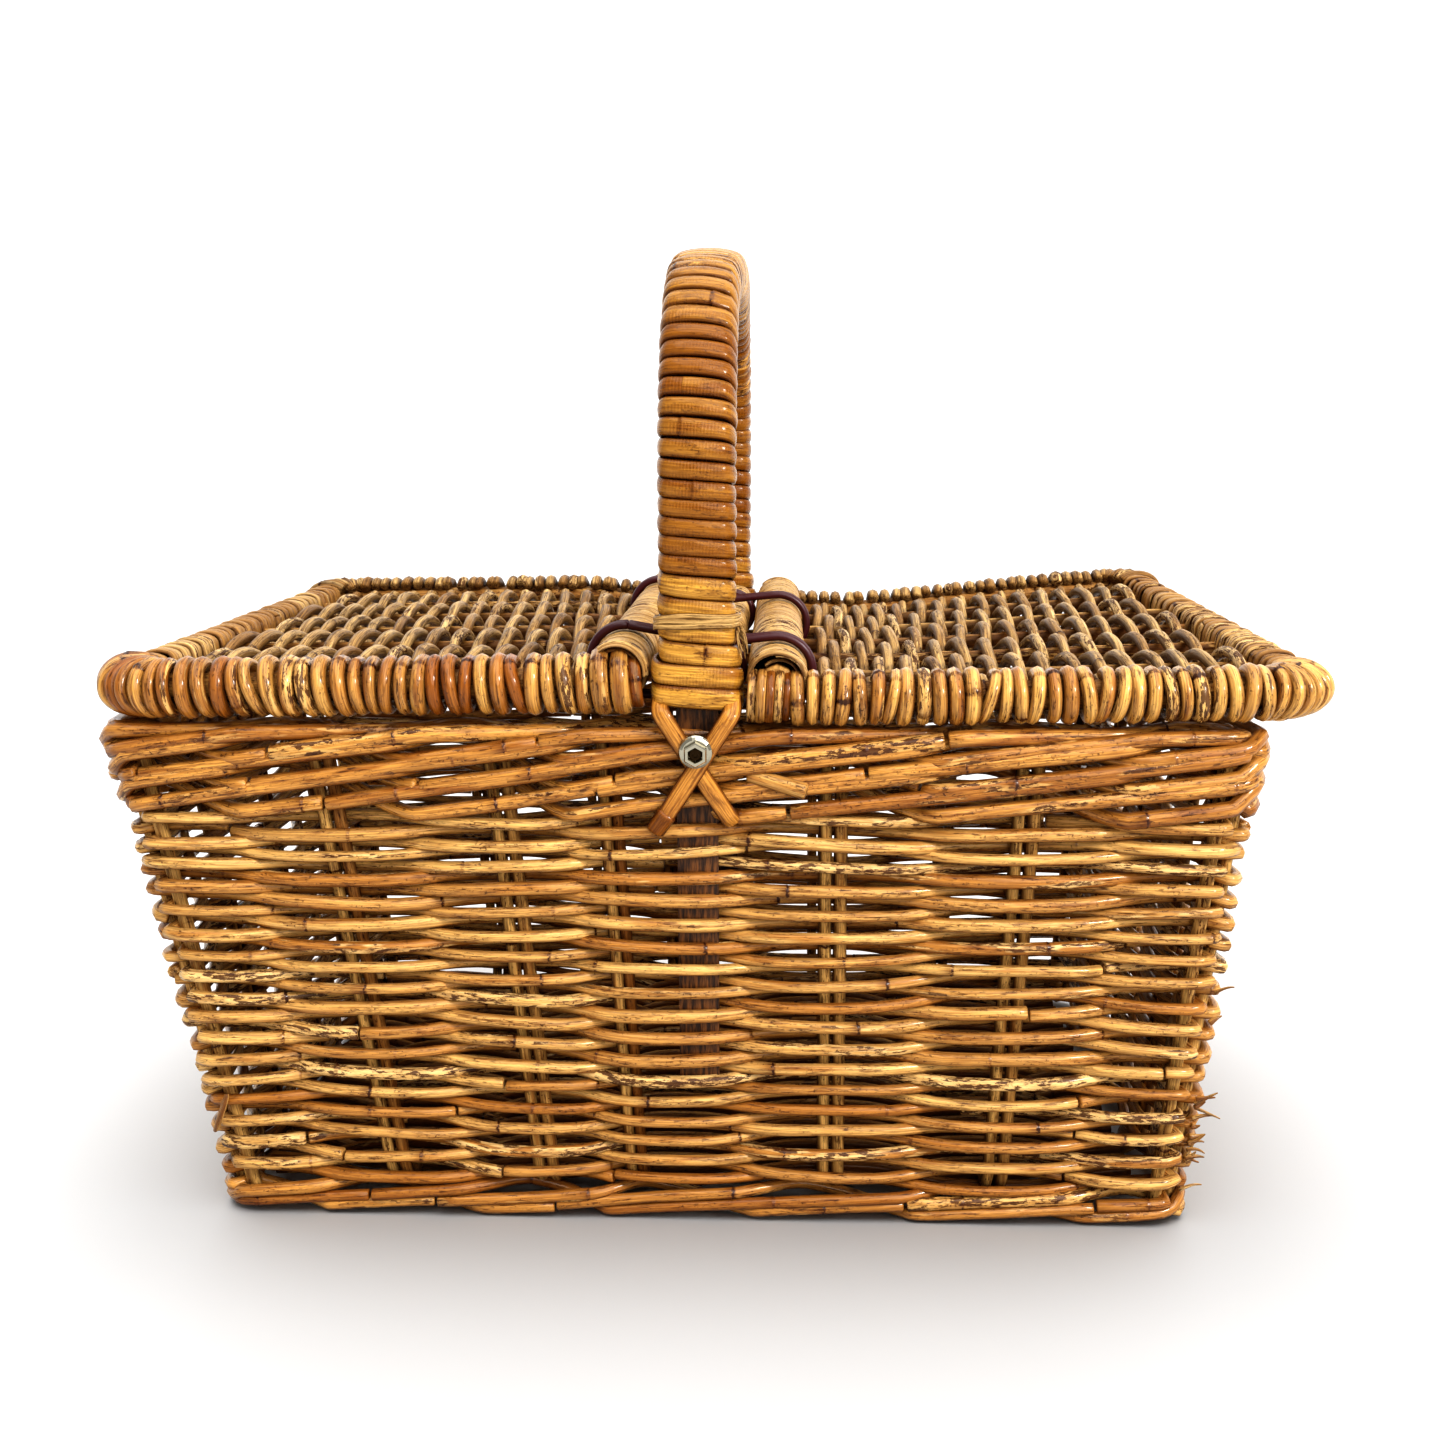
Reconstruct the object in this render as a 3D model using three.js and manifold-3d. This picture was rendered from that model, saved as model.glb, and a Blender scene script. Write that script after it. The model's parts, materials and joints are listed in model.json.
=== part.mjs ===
// A two-lid picnic basket of woven cane with a fixed arched handle.
// Lengths are in millimetres and +Z is up. The long side runs along X and the front faces -Y.
// The origin is on the floor, below the centre of the whole basket.

import * as THREE from "three";
import { mergeVertices } from "three/addons/utils/BufferGeometryUtils.js";
import Module from "manifold-3d";

const wasm = await Module();
wasm.setup();

// ---------------------------------------------------------------- driving dimensions

const GAP = 0.3;

// Outer faces of the woven body at the floor and at the top of the rim.
const FOOT = { left: -202, right: 202, depth: 136, height: 14 };
const RIM = { left: -236, right: 220, depth: 157, top: 212, height: 36 };
const WALL = 16;
const RIM_PROUD = 1.5;
const RIM_THICKNESS = 19;
const FOOT_PROUD = 1;
const BASE_THICKNESS = 18;

// Upright stakes: their places across a wall, as shares of its width from left to right.
const CROSS_STAKE_SHARES = [0.192, 0.344, 0.466, 0.633, 0.8];
const LONG_STAKE_SHARES = [0.25, 0.5, 0.75];
const STAKE = { radius: 2.5, top: 207, crossLevel: 12.5, longLevel: 5, bend: 11 };
const CORNER_STAKE = { radius: 3.5, inset: 10, bottom: 8 };
const CHANNEL_CLEARANCE = 0.4;
const CHANNEL_OVERRUN = 6;

// Arched handle, in the plane X = 0. Its haunches are tight bends and its crown is a shallow one.
const HANDLE = { halfSpan: 147.5, top: 402, haunch: 75, crownHalfAngle: Math.PI / 15, wrapBottom: 221 };
const WRAP = { width: 34, thickness: 24, corner: 9 };
const CORE = { width: 24, thickness: 14, corner: 5 };
const TONGUE = { width: 16, thickness: 6, bottom: 60, top: 224 };

// Bolt, nut and crossed strips that hold each end of the handle.
const BOLT = { level: 204, radius: 2.7, headRadius: 6, headHeight: 3.2, tip: 10.5 };
const NUT = { flangeRadius: 6.6, flangeHeight: 1.5, hexRadius: 5.8, height: 6.2 };
const STRIP = { width: 6.5, thickness: 1.2, topX: 16.5, topLevel: 218, endX: 13, endLevel: 174 };

// Fixed bar between the lids, with an outline of two half circles and flat sides.
const BAR = { halfWidth: 15.3, halfHeight: 9, level: 229, wrap: 2 };

// Lids. Each turns about its own hinge rod. A negative tilt raises the right lid's outer side
// and lowers the left lid's.
const HINGE = { x: 30.5, rodRadius: 6.5, wrapRadius: 12, rodHalfLength: 160, wrapHalfLength: 158 };
const LIDS = [
  { name: "left", side: -1, level: 232.5, tilt: -1.0, reach: 200.5, bands: [-116, 80] },
  { name: "right", side: 1, level: 229.5, tilt: -0.8, reach: 207, bands: [-126, 32] },
];
const LID = { halfDepth: 161, drop: 4.5, thickness: 17, innerEdge: 17, frameStart: 13, corner: 22, cuff: 2 };
const FRAME_RADIUS = 6;
const LOOP_RADIUS = 12;
const SIDE_WRAP_RADIUS = 9.5;
const SPOKE = { radius: 3.2, places: [-100, -50, 0, 50, 100] };
const BAND = { width: 6, thickness: 2.2, clearance: 0.4 };

// ---------------------------------------------------------------- materials

function canePaint(color, roughness) {
  return new THREE.MeshStandardMaterial({ color, roughness, metalness: 0, flatShading: true });
}

const PAINT = {
  weave: () => canePaint(0xb9853f, 0.5),
  rim: () => canePaint(0xc08a45, 0.45),
  stake: () => canePaint(0xa87638, 0.55),
  handle: () => canePaint(0xb06a24, 0.3),
  core: () => canePaint(0x7d5228, 0.7),
  lid: () => canePaint(0x9c7b48, 0.6),
  flatCane: () => canePaint(0xc9a566, 0.55),
  band: () => canePaint(0x4a1c22, 0.4),
  steel: () => new THREE.MeshStandardMaterial({ color: 0xb4b4b0, roughness: 0.3, metalness: 1 }),
};

// ---------------------------------------------------------------- solids

function toSolid(geometry) {
  const bare = geometry.clone();
  bare.deleteAttribute("normal");
  bare.deleteAttribute("uv");
  const merged = mergeVertices(bare, 1e-4);
  const vertProperties = merged.getAttribute("position").array;
  const triVerts = new Uint32Array(merged.getIndex().array);
  return new wasm.Manifold(new wasm.Mesh({ numProp: 3, vertProperties, triVerts }));
}

function toGeometry(solid) {
  const mesh = solid.getMesh();
  const geometry = new THREE.BufferGeometry();
  geometry.setAttribute("position", new THREE.BufferAttribute(mesh.vertProperties, 3));
  geometry.setIndex(new THREE.BufferAttribute(mesh.triVerts, 1));
  geometry.computeVertexNormals();
  return geometry;
}

function join(pieces) {
  return toGeometry(pieces.map(toSolid).reduce((whole, piece) => whole.add(piece)));
}

function cut(body, tools) {
  return toGeometry(tools.map(toSolid).reduce((whole, tool) => whole.subtract(tool), toSolid(body)));
}

// A centre line through a few points. Sections of a swept solid stand at those points only.
class PointPath extends THREE.Curve {
  constructor(points) {
    super();
    this.points = points;
  }

  getPointAt(share) {
    return this.points[Math.round(share * (this.points.length - 1))].clone();
  }

  getTangentAt(share) {
    const index = Math.round(share * (this.points.length - 1));
    const last = this.points.length - 1;
    const here = this.points[index];
    const arriving = here.clone().sub(this.points[Math.max(index - 1, 0)]).normalize();
    const leaving = this.points[Math.min(index + 1, last)].clone().sub(here).normalize();
    return arriving.add(leaving).normalize();
  }
}

function sweep(shape, points, curveSegments) {
  const extrudePath = new PointPath(points);
  return new THREE.ExtrudeGeometry(shape, { steps: points.length - 1, extrudePath, curveSegments });
}

function circle(radius) {
  return new THREE.Shape().absarc(0, 0, radius, 0, 2 * Math.PI);
}

function rod(points, radius, sides = 8) {
  return sweep(circle(radius), points, sides / 2);
}

// The same rod, thicker and longer, for the channel that it lies in.
function channel(points, radius, sides = 8) {
  const longer = [...points];
  const last = points.length - 1;
  const startward = points[0].clone().sub(points[1]).setLength(CHANNEL_OVERRUN);
  const endward = points[last].clone().sub(points[last - 1]).setLength(CHANNEL_OVERRUN);
  longer[0] = points[0].clone().add(startward);
  longer[last] = points[last].clone().add(endward);
  return rod(longer, radius + CHANNEL_CLEARANCE, sides);
}

function tube(points, outerRadius, innerRadius, sides = 12) {
  const shape = circle(outerRadius);
  shape.holes.push(circle(innerRadius));
  return sweep(shape, points, sides / 2);
}

function roundedRectangle(width, height, corner) {
  const x = width / 2 - corner;
  const y = height / 2 - corner;
  const quarter = Math.PI / 2;
  return new THREE.Shape()
    .absarc(x, y, corner, 0, quarter)
    .absarc(-x, y, corner, quarter, 2 * quarter)
    .absarc(-x, -y, corner, 2 * quarter, 3 * quarter)
    .absarc(x, -y, corner, 3 * quarter, 4 * quarter);
}

const basket = new THREE.Group();

function addPart(parent, name, geometry, paint) {
  const mesh = new THREE.Mesh(geometry, paint());
  mesh.name = name;
  parent.add(mesh);
}

// ---------------------------------------------------------------- the tapered body

const between = (foot, rim, level) => foot + ((rim - foot) * level) / RIM.top;
const leftFace = (level) => between(FOOT.left, RIM.left, level);
const rightFace = (level) => between(FOOT.right, RIM.right, level);
const depthFace = (level) => between(FOOT.depth, RIM.depth, level);
const LEAN = Math.atan2(RIM.depth - FOOT.depth, RIM.top);

// Leans the sides of a straight box outwards, from the foot's outline to the rim's.
function flare(geometry) {
  const position = geometry.getAttribute("position");
  for (let i = 0; i < position.count; i += 1) {
    const share = position.getZ(i) / RIM.top;
    const x = position.getX(i);
    const y = position.getY(i);
    const spreadX = x < 0 ? RIM.left - FOOT.left : RIM.right - FOOT.right;
    position.setX(i, x + spreadX * share);
    position.setY(i, y + Math.sign(y) * (RIM.depth - FOOT.depth) * share);
  }
  return geometry;
}

function crossStakePoints(share) {
  const { top, crossLevel, bend } = STAKE;
  const point = (level, inward, end) =>
    new THREE.Vector3(
      leftFace(level) + share * (rightFace(level) - leftFace(level)),
      end * (depthFace(level) - WALL / 2 - inward),
      level,
    );
  const half = (end) => [
    point(top, 0, end),
    point(crossLevel + bend, 0, end),
    point(crossLevel + 0.3 * bend, 0.3 * bend, end),
    point(crossLevel, bend, end),
  ];
  return [...half(-1), ...half(1).reverse()];
}

function longStakePoints(share) {
  const { top, longLevel, bend } = STAKE;
  const y = (level) => (2 * share - 1) * depthFace(level);
  const left = (level, inward) =>
    new THREE.Vector3(leftFace(level) + WALL / 2 + inward, y(level), level);
  const right = (level, inward) =>
    new THREE.Vector3(rightFace(level) - WALL / 2 - inward, y(level), level);
  const half = (point) => [
    point(top, 0),
    point(longLevel + bend, 0),
    point(longLevel + 0.3 * bend, 0.3 * bend),
    point(longLevel, bend),
  ];
  return [...half(left), ...half(right).reverse()];
}

function cornerStakePoints(side, end) {
  const face = side < 0 ? leftFace : rightFace;
  return [CORNER_STAKE.bottom, STAKE.top].map(
    (level) =>
      new THREE.Vector3(
        face(level) - side * CORNER_STAKE.inset,
        end * (depthFace(level) - CORNER_STAKE.inset),
        level,
      ),
  );
}

function makeStakes() {
  const stakes = [];
  CROSS_STAKE_SHARES.forEach((share, i) => {
    stakes.push({ name: `cross_stake_${i + 1}`, points: crossStakePoints(share), radius: STAKE.radius });
  });
  LONG_STAKE_SHARES.forEach((share, i) => {
    stakes.push({ name: `long_stake_${i + 1}`, points: longStakePoints(share), radius: STAKE.radius });
  });
  for (const [endName, end] of [["front", -1], ["back", 1]]) {
    for (const [sideName, side] of [["left", -1], ["right", 1]]) {
      const name = `corner_stake_${endName}_${sideName}`;
      stakes.push({ name, points: cornerStakePoints(side, end), radius: CORNER_STAKE.radius });
    }
  }
  return stakes;
}

// One straight wall with mitred ends, whose outer corners are rounded.
function wallBlank(halfLength, faceDistance, turn) {
  const inner = halfLength - WALL;
  const eighth = Math.PI / 4;
  const outline = new THREE.Shape()
    .moveTo(-inner, 0)
    .absarc(-inner, 0, WALL, 3 * eighth, 2 * eighth, true)
    .absarc(inner, 0, WALL, 2 * eighth, eighth, true)
    .lineTo(inner, 0);
  const bottom = FOOT.height + GAP;
  const depth = RIM.top - RIM.height - GAP - bottom;
  const blank = new THREE.ExtrudeGeometry(outline, { depth, bevelEnabled: false, curveSegments: 1 });
  return flare(blank.translate(0, faceDistance - WALL, bottom).rotateZ(turn));
}

// A closed border of the given thickness round the body, between two levels.
function borderBlank(proud, thickness, bottom, depth) {
  const width = FOOT.right - FOOT.left + 2 * proud;
  const length = 2 * (FOOT.depth + proud);
  const outline = roundedRectangle(width, length, WALL + proud);
  const innerCorner = 0.5;
  outline.holes.push(roundedRectangle(width - 2 * thickness, length - 2 * thickness, innerCorner));
  const border = new THREE.ExtrudeGeometry(outline, { depth, bevelEnabled: false, curveSegments: 1 });
  return flare(border.translate(0, 0, bottom));
}

function baseBlank() {
  const inset = WALL + GAP;
  const width = FOOT.right - FOOT.left - 2 * inset;
  const length = 2 * (FOOT.depth - inset);
  return new THREE.BoxGeometry(width, length, BASE_THICKNESS).translate(0, 0, BASE_THICKNESS / 2);
}

// ---------------------------------------------------------------- the handle

function archPoints(bottom) {
  const { halfSpan, top, haunch, crownHalfAngle } = HANDLE;
  const haunchY = halfSpan - haunch;
  const crownRadius = haunch + haunchY / Math.sin(crownHalfAngle);
  const crownCentre = top - WRAP.thickness / 2 - crownRadius;
  const springs = crownCentre + haunchY / Math.tan(crownHalfAngle);
  const haunchSteps = 6;
  const crownSteps = 3;
  const half = [[halfSpan, bottom]];
  for (let i = 0; i <= haunchSteps; i += 1) {
    const angle = ((Math.PI / 2 - crownHalfAngle) * i) / haunchSteps;
    half.push([haunchY + haunch * Math.cos(angle), springs + haunch * Math.sin(angle)]);
  }
  for (let i = 1; i < crownSteps; i += 1) {
    const angle = crownHalfAngle * (1 - i / crownSteps);
    half.push([crownRadius * Math.sin(angle), crownCentre + crownRadius * Math.cos(angle)]);
  }
  const crown = new THREE.Vector3(0, 0, crownCentre + crownRadius);
  const side = (end) => half.map(([y, z]) => new THREE.Vector3(0, end * y, z));
  return [...side(-1), crown, ...side(1).reverse()];
}

// Puts a solid on the rim's outer face at the bolt's level. Its own +Y axis points outwards.
function onRimFace(geometry, end) {
  const placed = geometry.rotateX(-LEAN).translate(0, depthFace(BOLT.level) + RIM_PROUD, BOLT.level);
  return end < 0 ? placed.rotateZ(Math.PI) : placed;
}

function tongue(end, clearance) {
  const height = TONGUE.top - TONGUE.bottom + 2 * clearance;
  const level = (TONGUE.top + TONGUE.bottom) / 2;
  const width = TONGUE.width + 2 * clearance;
  const blank = new THREE.BoxGeometry(width, TONGUE.thickness + 2 * clearance, height);
  const placed = blank.rotateX(-LEAN).translate(0, depthFace(level) - WALL / 2, level);
  return end < 0 ? placed.rotateZ(Math.PI) : placed;
}

function boltHole(end) {
  const length = 60;
  return onRimFace(new THREE.CylinderGeometry(BOLT.radius + GAP, BOLT.radius + GAP, length, 12), end);
}

function handleCore() {
  const section = roundedRectangle(CORE.thickness, CORE.width, CORE.corner);
  const arch = sweep(section, archPoints(HANDLE.wrapBottom + GAP), 1);
  return cut(join([arch, tongue(-1, 0), tongue(1, 0)]), [boltHole(-1), boltHole(1)]);
}

function handleWrap() {
  const section = roundedRectangle(WRAP.thickness, WRAP.width, WRAP.corner);
  section.holes.push(roundedRectangle(CORE.thickness + 2 * GAP, CORE.width + 2 * GAP, CORE.corner));
  return sweep(section, archPoints(HANDLE.wrapBottom), 1);
}

function bolt(end) {
  const { radius, headRadius, headHeight, tip } = BOLT;
  const seat = -RIM_THICKNESS - GAP;
  const profile = [
    [0, seat - headHeight],
    [0.7 * headRadius, seat - headHeight],
    [headRadius, seat - 0.5 * headHeight],
    [headRadius, seat],
    [radius, seat],
    [radius, tip],
    [0, tip],
  ].map(([x, y]) => new THREE.Vector2(x, y));
  return onRimFace(new THREE.LatheGeometry(profile, 12), end);
}

function flangeNut(end) {
  const { flangeRadius, flangeHeight, hexRadius, height } = NUT;
  const seat = 2 * (STRIP.thickness + GAP) + GAP;
  const flange = new THREE.CylinderGeometry(flangeRadius, flangeRadius, flangeHeight, 16);
  const hexagon = new THREE.CylinderGeometry(hexRadius, hexRadius, height, 6);
  flange.translate(0, seat + flangeHeight / 2, 0);
  hexagon.translate(0, seat + height / 2, 0);
  const bore = new THREE.CylinderGeometry(BOLT.radius + GAP, BOLT.radius + GAP, 40, 12);
  return onRimFace(cut(join([flange, hexagon]), [bore]), end);
}

// A flat cane that slants across the rim; the strip on layer 1 passes over the strip on layer 0.
function lashingStrip(end, layer) {
  const { width, thickness, topX, topLevel, endX, endLevel } = STRIP;
  const side = layer === 0 ? -1 : 1;
  const run = topX + endX;
  const fall = topLevel - endLevel;
  const strip = new THREE.BoxGeometry(width, thickness, Math.hypot(run, fall));
  strip.rotateY(side * Math.atan2(run, fall));
  const outward = GAP + thickness / 2 + layer * (thickness + GAP);
  strip.translate((side * (topX - endX)) / 2, outward, (topLevel + endLevel) / 2 - BOLT.level);
  return onRimFace(strip, end);
}

// ---------------------------------------------------------------- the centre bar and hinge bands

// Closed outline round two circles. The first number of each circle is across, the second up.
function loopOutline(a, b, growth) {
  const radiusA = a.radius + growth;
  const radiusB = b.radius + growth;
  const heading = Math.atan2(b.y - a.y, b.x - a.x);
  const opening = Math.acos((radiusA - radiusB) / Math.hypot(b.x - a.x, b.y - a.y));
  return new THREE.Shape()
    .absarc(a.x, a.y, radiusA, heading + opening, heading - opening + 2 * Math.PI)
    .absarc(b.x, b.y, radiusB, heading - opening, heading + opening);
}

// Extrudes an X-Z outline along Y, from one place to another.
function alongY(outline, from, to, curveSegments) {
  const options = { depth: to - from, bevelEnabled: false, curveSegments };
  return new THREE.ExtrudeGeometry(outline, options).rotateX(Math.PI / 2).translate(0, to, 0);
}

function barEnd(side, radius) {
  return { x: side * (BAR.halfWidth - BAR.halfHeight), y: BAR.level, radius };
}

function barOutline(inset) {
  const radius = BAR.halfHeight - inset;
  return loopOutline(barEnd(-1, radius), barEnd(1, radius), 0);
}

function centreBar() {
  const half = HANDLE.halfSpan - WRAP.thickness / 2 - GAP;
  return alongY(barOutline(BAR.wrap + GAP), -half, half, 3);
}

function centreBarWrap() {
  const half = HANDLE.halfSpan - WRAP.thickness / 2 - 2 * GAP;
  const outline = barOutline(0);
  outline.holes.push(barOutline(BAR.wrap));
  return alongY(outline, -half, half, 3);
}

function hingeBand(lid, place) {
  const rodCircle = { x: lid.side * HINGE.x, y: lid.level, radius: HINGE.wrapRadius };
  const farEnd = barEnd(-lid.side, BAR.halfHeight);
  const [a, b] = lid.side < 0 ? [rodCircle, farEnd] : [farEnd, rodCircle];
  const outline = loopOutline(a, b, BAND.clearance + BAND.thickness);
  outline.holes.push(loopOutline(a, b, BAND.clearance));
  return alongY(outline, place - BAND.width / 2, place + BAND.width / 2, 5);
}

// ---------------------------------------------------------------- the lids

// Points in a lid's own frame: outward from the hinge rod's axis, then along Y, then up.
function lidPoint(lid, outward, y, up) {
  return new THREE.Vector3(lid.side * outward, y, up);
}

// The bend at one outer corner of a lid's frame, and a short straight cuff along the outer side.
function cornerPoints(lid, end) {
  const outward = lid.reach - LOOP_RADIUS - LID.corner;
  const y = LID.halfDepth - LOOP_RADIUS - LID.corner;
  const points = [];
  for (let i = 0; i <= 4; i += 1) {
    const angle = (Math.PI / 2) * (1 - i / 4);
    const outwardHere = outward + LID.corner * Math.cos(angle);
    points.push(lidPoint(lid, outwardHere, end * (y + LID.corner * Math.sin(angle)), -LID.drop));
  }
  points.push(lidPoint(lid, outward + LID.corner, end * (y - LID.cuff), -LID.drop));
  return points;
}

function polePoints(lid, end, start) {
  const poleY = end * (LID.halfDepth - LOOP_RADIUS);
  return [lidPoint(lid, start, poleY, -LID.drop), ...cornerPoints(lid, end)];
}

function framePoints(lid) {
  return [...polePoints(lid, -1, LID.frameStart), ...polePoints(lid, 1, LID.frameStart).reverse()];
}

function spokePoints(lid, y) {
  const start = HINGE.wrapRadius + GAP;
  const finish = lid.reach - LOOP_RADIUS - SIDE_WRAP_RADIUS - GAP;
  return [lidPoint(lid, start, y, -LID.drop), lidPoint(lid, finish, y, -LID.drop)];
}

function straightY(lid, outward, up, half) {
  return [lidPoint(lid, outward, -half, up), lidPoint(lid, outward, half, up)];
}

function lidWeave(lid) {
  const outerEdge = lid.reach - LOOP_RADIUS - SIDE_WRAP_RADIUS - GAP;
  const width = outerEdge - LID.innerEdge;
  const depth = 2 * (LID.halfDepth - LOOP_RADIUS);
  const middle = lid.side * (LID.innerEdge + width / 2);
  const panel = new THREE.BoxGeometry(width, depth, LID.thickness).translate(middle, 0, -LID.drop);
  const loops = [-1, 1].map((end) => rod(polePoints(lid, end, LID.innerEdge), LOOP_RADIUS, 12));
  const frame = channel(framePoints(lid), FRAME_RADIUS);
  const spokes = SPOKE.places.map((y) => channel(spokePoints(lid, y), SPOKE.radius));
  return cut(join([panel, ...loops]), [frame, ...spokes]);
}

function sideWrap(lid) {
  const half = LID.halfDepth - LOOP_RADIUS - LID.corner - LID.cuff - GAP;
  const points = straightY(lid, lid.reach - LOOP_RADIUS, -LID.drop, half);
  return tube(points, SIDE_WRAP_RADIUS, FRAME_RADIUS + CHANNEL_CLEARANCE, 8);
}

function addLid(lid) {
  const group = new THREE.Group();
  group.position.set(lid.side * HINGE.x, 0, lid.level);
  group.rotation.y = THREE.MathUtils.degToRad(lid.tilt);
  const add = (part, geometry, paint) => addPart(group, `${lid.name}_lid_${part}`, geometry, paint);
  const wrapPoints = straightY(lid, 0, 0, HINGE.wrapHalfLength);
  add("hinge_rod", rod(straightY(lid, 0, 0, HINGE.rodHalfLength), HINGE.rodRadius), PAINT.stake);
  add("hinge_wrap", tube(wrapPoints, HINGE.wrapRadius, HINGE.rodRadius + CHANNEL_CLEARANCE), PAINT.flatCane);
  add("frame", rod(framePoints(lid), FRAME_RADIUS), PAINT.stake);
  add("side_wrap", sideWrap(lid), PAINT.flatCane);
  SPOKE.places.forEach((y, i) => {
    add(`spoke_${i + 1}`, rod(spokePoints(lid, y), SPOKE.radius), PAINT.stake);
  });
  add("weave", lidWeave(lid), PAINT.lid);
  basket.add(group);
  lid.bands.forEach((place, i) => {
    addPart(basket, `${lid.name}_hinge_band_${i + 1}`, hingeBand(lid, place), PAINT.band);
  });
}

// ---------------------------------------------------------------- assembly

const stakes = makeStakes();
const stakeChannels = stakes.map((stake) => channel(stake.points, stake.radius));
const tongueSlots = [tongue(-1, CHANNEL_CLEARANCE), tongue(1, CHANNEL_CLEARANCE)];
const boltHoles = [boltHole(-1), boltHole(1)];

stakes.forEach((stake) => addPart(basket, stake.name, rod(stake.points, stake.radius), PAINT.stake));

const mitreInset = GAP * Math.SQRT2;
const WALLS = [
  ["front_wall", FOOT.right, FOOT.depth, Math.PI],
  ["back_wall", FOOT.right, FOOT.depth, 0],
  ["left_wall", FOOT.depth - mitreInset, FOOT.right, Math.PI / 2],
  ["right_wall", FOOT.depth - mitreInset, FOOT.right, -Math.PI / 2],
];
for (const [name, halfLength, faceDistance, turn] of WALLS) {
  const wall = cut(wallBlank(halfLength, faceDistance, turn), [...stakeChannels, ...tongueSlots]);
  addPart(basket, name, wall, PAINT.weave);
}

const rimBlank = borderBlank(RIM_PROUD, RIM_THICKNESS, RIM.top - RIM.height, RIM.height);
addPart(basket, "rim_border", cut(rimBlank, [...stakeChannels, ...tongueSlots, ...boltHoles]), PAINT.rim);
const footBlank = borderBlank(FOOT_PROUD, WALL + FOOT_PROUD, 0, FOOT.height);
addPart(basket, "foot_border", cut(footBlank, stakeChannels), PAINT.rim);
addPart(basket, "base_mat", cut(baseBlank(), stakeChannels), PAINT.weave);

addPart(basket, "handle_core", handleCore(), PAINT.core);
addPart(basket, "handle_wrap", handleWrap(), PAINT.handle);
for (const [endName, end] of [["front", -1], ["back", 1]]) {
  addPart(basket, `${endName}_bolt`, bolt(end), PAINT.steel);
  addPart(basket, `${endName}_flange_nut`, flangeNut(end), PAINT.steel);
  addPart(basket, `${endName}_lashing_under`, lashingStrip(end, 0), PAINT.handle);
  addPart(basket, `${endName}_lashing_over`, lashingStrip(end, 1), PAINT.handle);
}

addPart(basket, "centre_bar", centreBar(), PAINT.stake);
addPart(basket, "centre_bar_wrap", centreBarWrap(), PAINT.flatCane);
LIDS.forEach(addLid);

export default basket;
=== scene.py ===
"""A two-lid picnic basket of woven cane, dressed over its CAD frame.

Shapes are worked out in millimetres in the CAD frame: +Z up, front towards -Y, long side along X.
"""

import json
import math

import bpy
import numpy as np
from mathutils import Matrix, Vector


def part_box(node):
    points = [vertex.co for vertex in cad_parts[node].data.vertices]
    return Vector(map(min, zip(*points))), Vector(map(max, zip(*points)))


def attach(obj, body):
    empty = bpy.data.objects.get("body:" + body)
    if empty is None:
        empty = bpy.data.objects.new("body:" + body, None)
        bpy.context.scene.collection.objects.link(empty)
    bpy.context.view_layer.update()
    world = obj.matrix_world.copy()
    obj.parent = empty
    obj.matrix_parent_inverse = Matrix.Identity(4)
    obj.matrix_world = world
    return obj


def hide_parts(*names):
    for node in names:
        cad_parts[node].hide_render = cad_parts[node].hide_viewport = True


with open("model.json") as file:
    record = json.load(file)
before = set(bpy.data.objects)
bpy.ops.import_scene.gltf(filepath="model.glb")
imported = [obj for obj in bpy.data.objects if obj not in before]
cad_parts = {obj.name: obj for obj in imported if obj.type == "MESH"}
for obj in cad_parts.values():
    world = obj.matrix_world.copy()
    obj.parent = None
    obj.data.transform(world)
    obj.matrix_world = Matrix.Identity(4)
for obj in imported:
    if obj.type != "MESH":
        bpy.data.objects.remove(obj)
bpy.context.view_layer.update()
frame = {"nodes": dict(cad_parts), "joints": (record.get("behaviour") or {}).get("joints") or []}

MM = 0.001
RANDOM = np.random.default_rng(11)
uniform = RANDOM.uniform
X_AXIS = np.array([1.0, 0.0, 0.0])
Y_AXIS = np.array([0.0, 1.0, 0.0])
Z_AXIS = np.array([0.0, 0.0, 1.0])


def box_mm(node):
    """Lowest and highest corner of a CAD node, in millimetres."""
    low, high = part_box(node)
    return np.array(low) / MM, np.array(high) / MM


def new_object(name, data):
    thing = bpy.data.objects.new(name, data)
    bpy.context.scene.collection.objects.link(thing)
    return thing


# ---- shaping helpers


def smooth(value):
    """Eases a value from 0 to 1; below 0 it stays 0 and above 1 it stays 1."""
    held = np.clip(value, 0, 1)
    return held * held * (3 - 2 * held)


def wander(place, wavelength, phase):
    """A gentle, never quite repeating wave with a height of about 1."""
    turn = 2 * math.pi * np.asarray(place) / wavelength
    return 0.6 * np.sin(turn + phase) + 0.4 * np.sin(1.73 * turn + 2.4 * phase)


def joined(*paths):
    """Several runs of points as one path."""
    return np.concatenate([np.atleast_2d(path) for path in paths])


def line(start, end, step=4.0):
    """Points from start to end, about one step apart."""
    start, end = np.array(start, float), np.array(end, float)
    count = max(2, int(np.linalg.norm(end - start) / step) + 1)
    return start + np.linspace(0, 1, count)[:, None] * (end - start)


def columns(x, y, z):
    """Points, or directions, from their three coordinates. Each is a list or one shared value."""
    return np.stack(np.broadcast_arrays(x, y, z), axis=1).astype(float)


def unit(vectors):
    return vectors / np.maximum(np.linalg.norm(vectors, axis=-1, keepdims=True), 1e-9)


def tangents_of(path):
    return unit(np.gradient(path, axis=0))


def lengths_along(path):
    steps = np.linalg.norm(np.diff(path, axis=0), axis=1)
    return np.concatenate([[0], np.cumsum(steps)])


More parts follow.
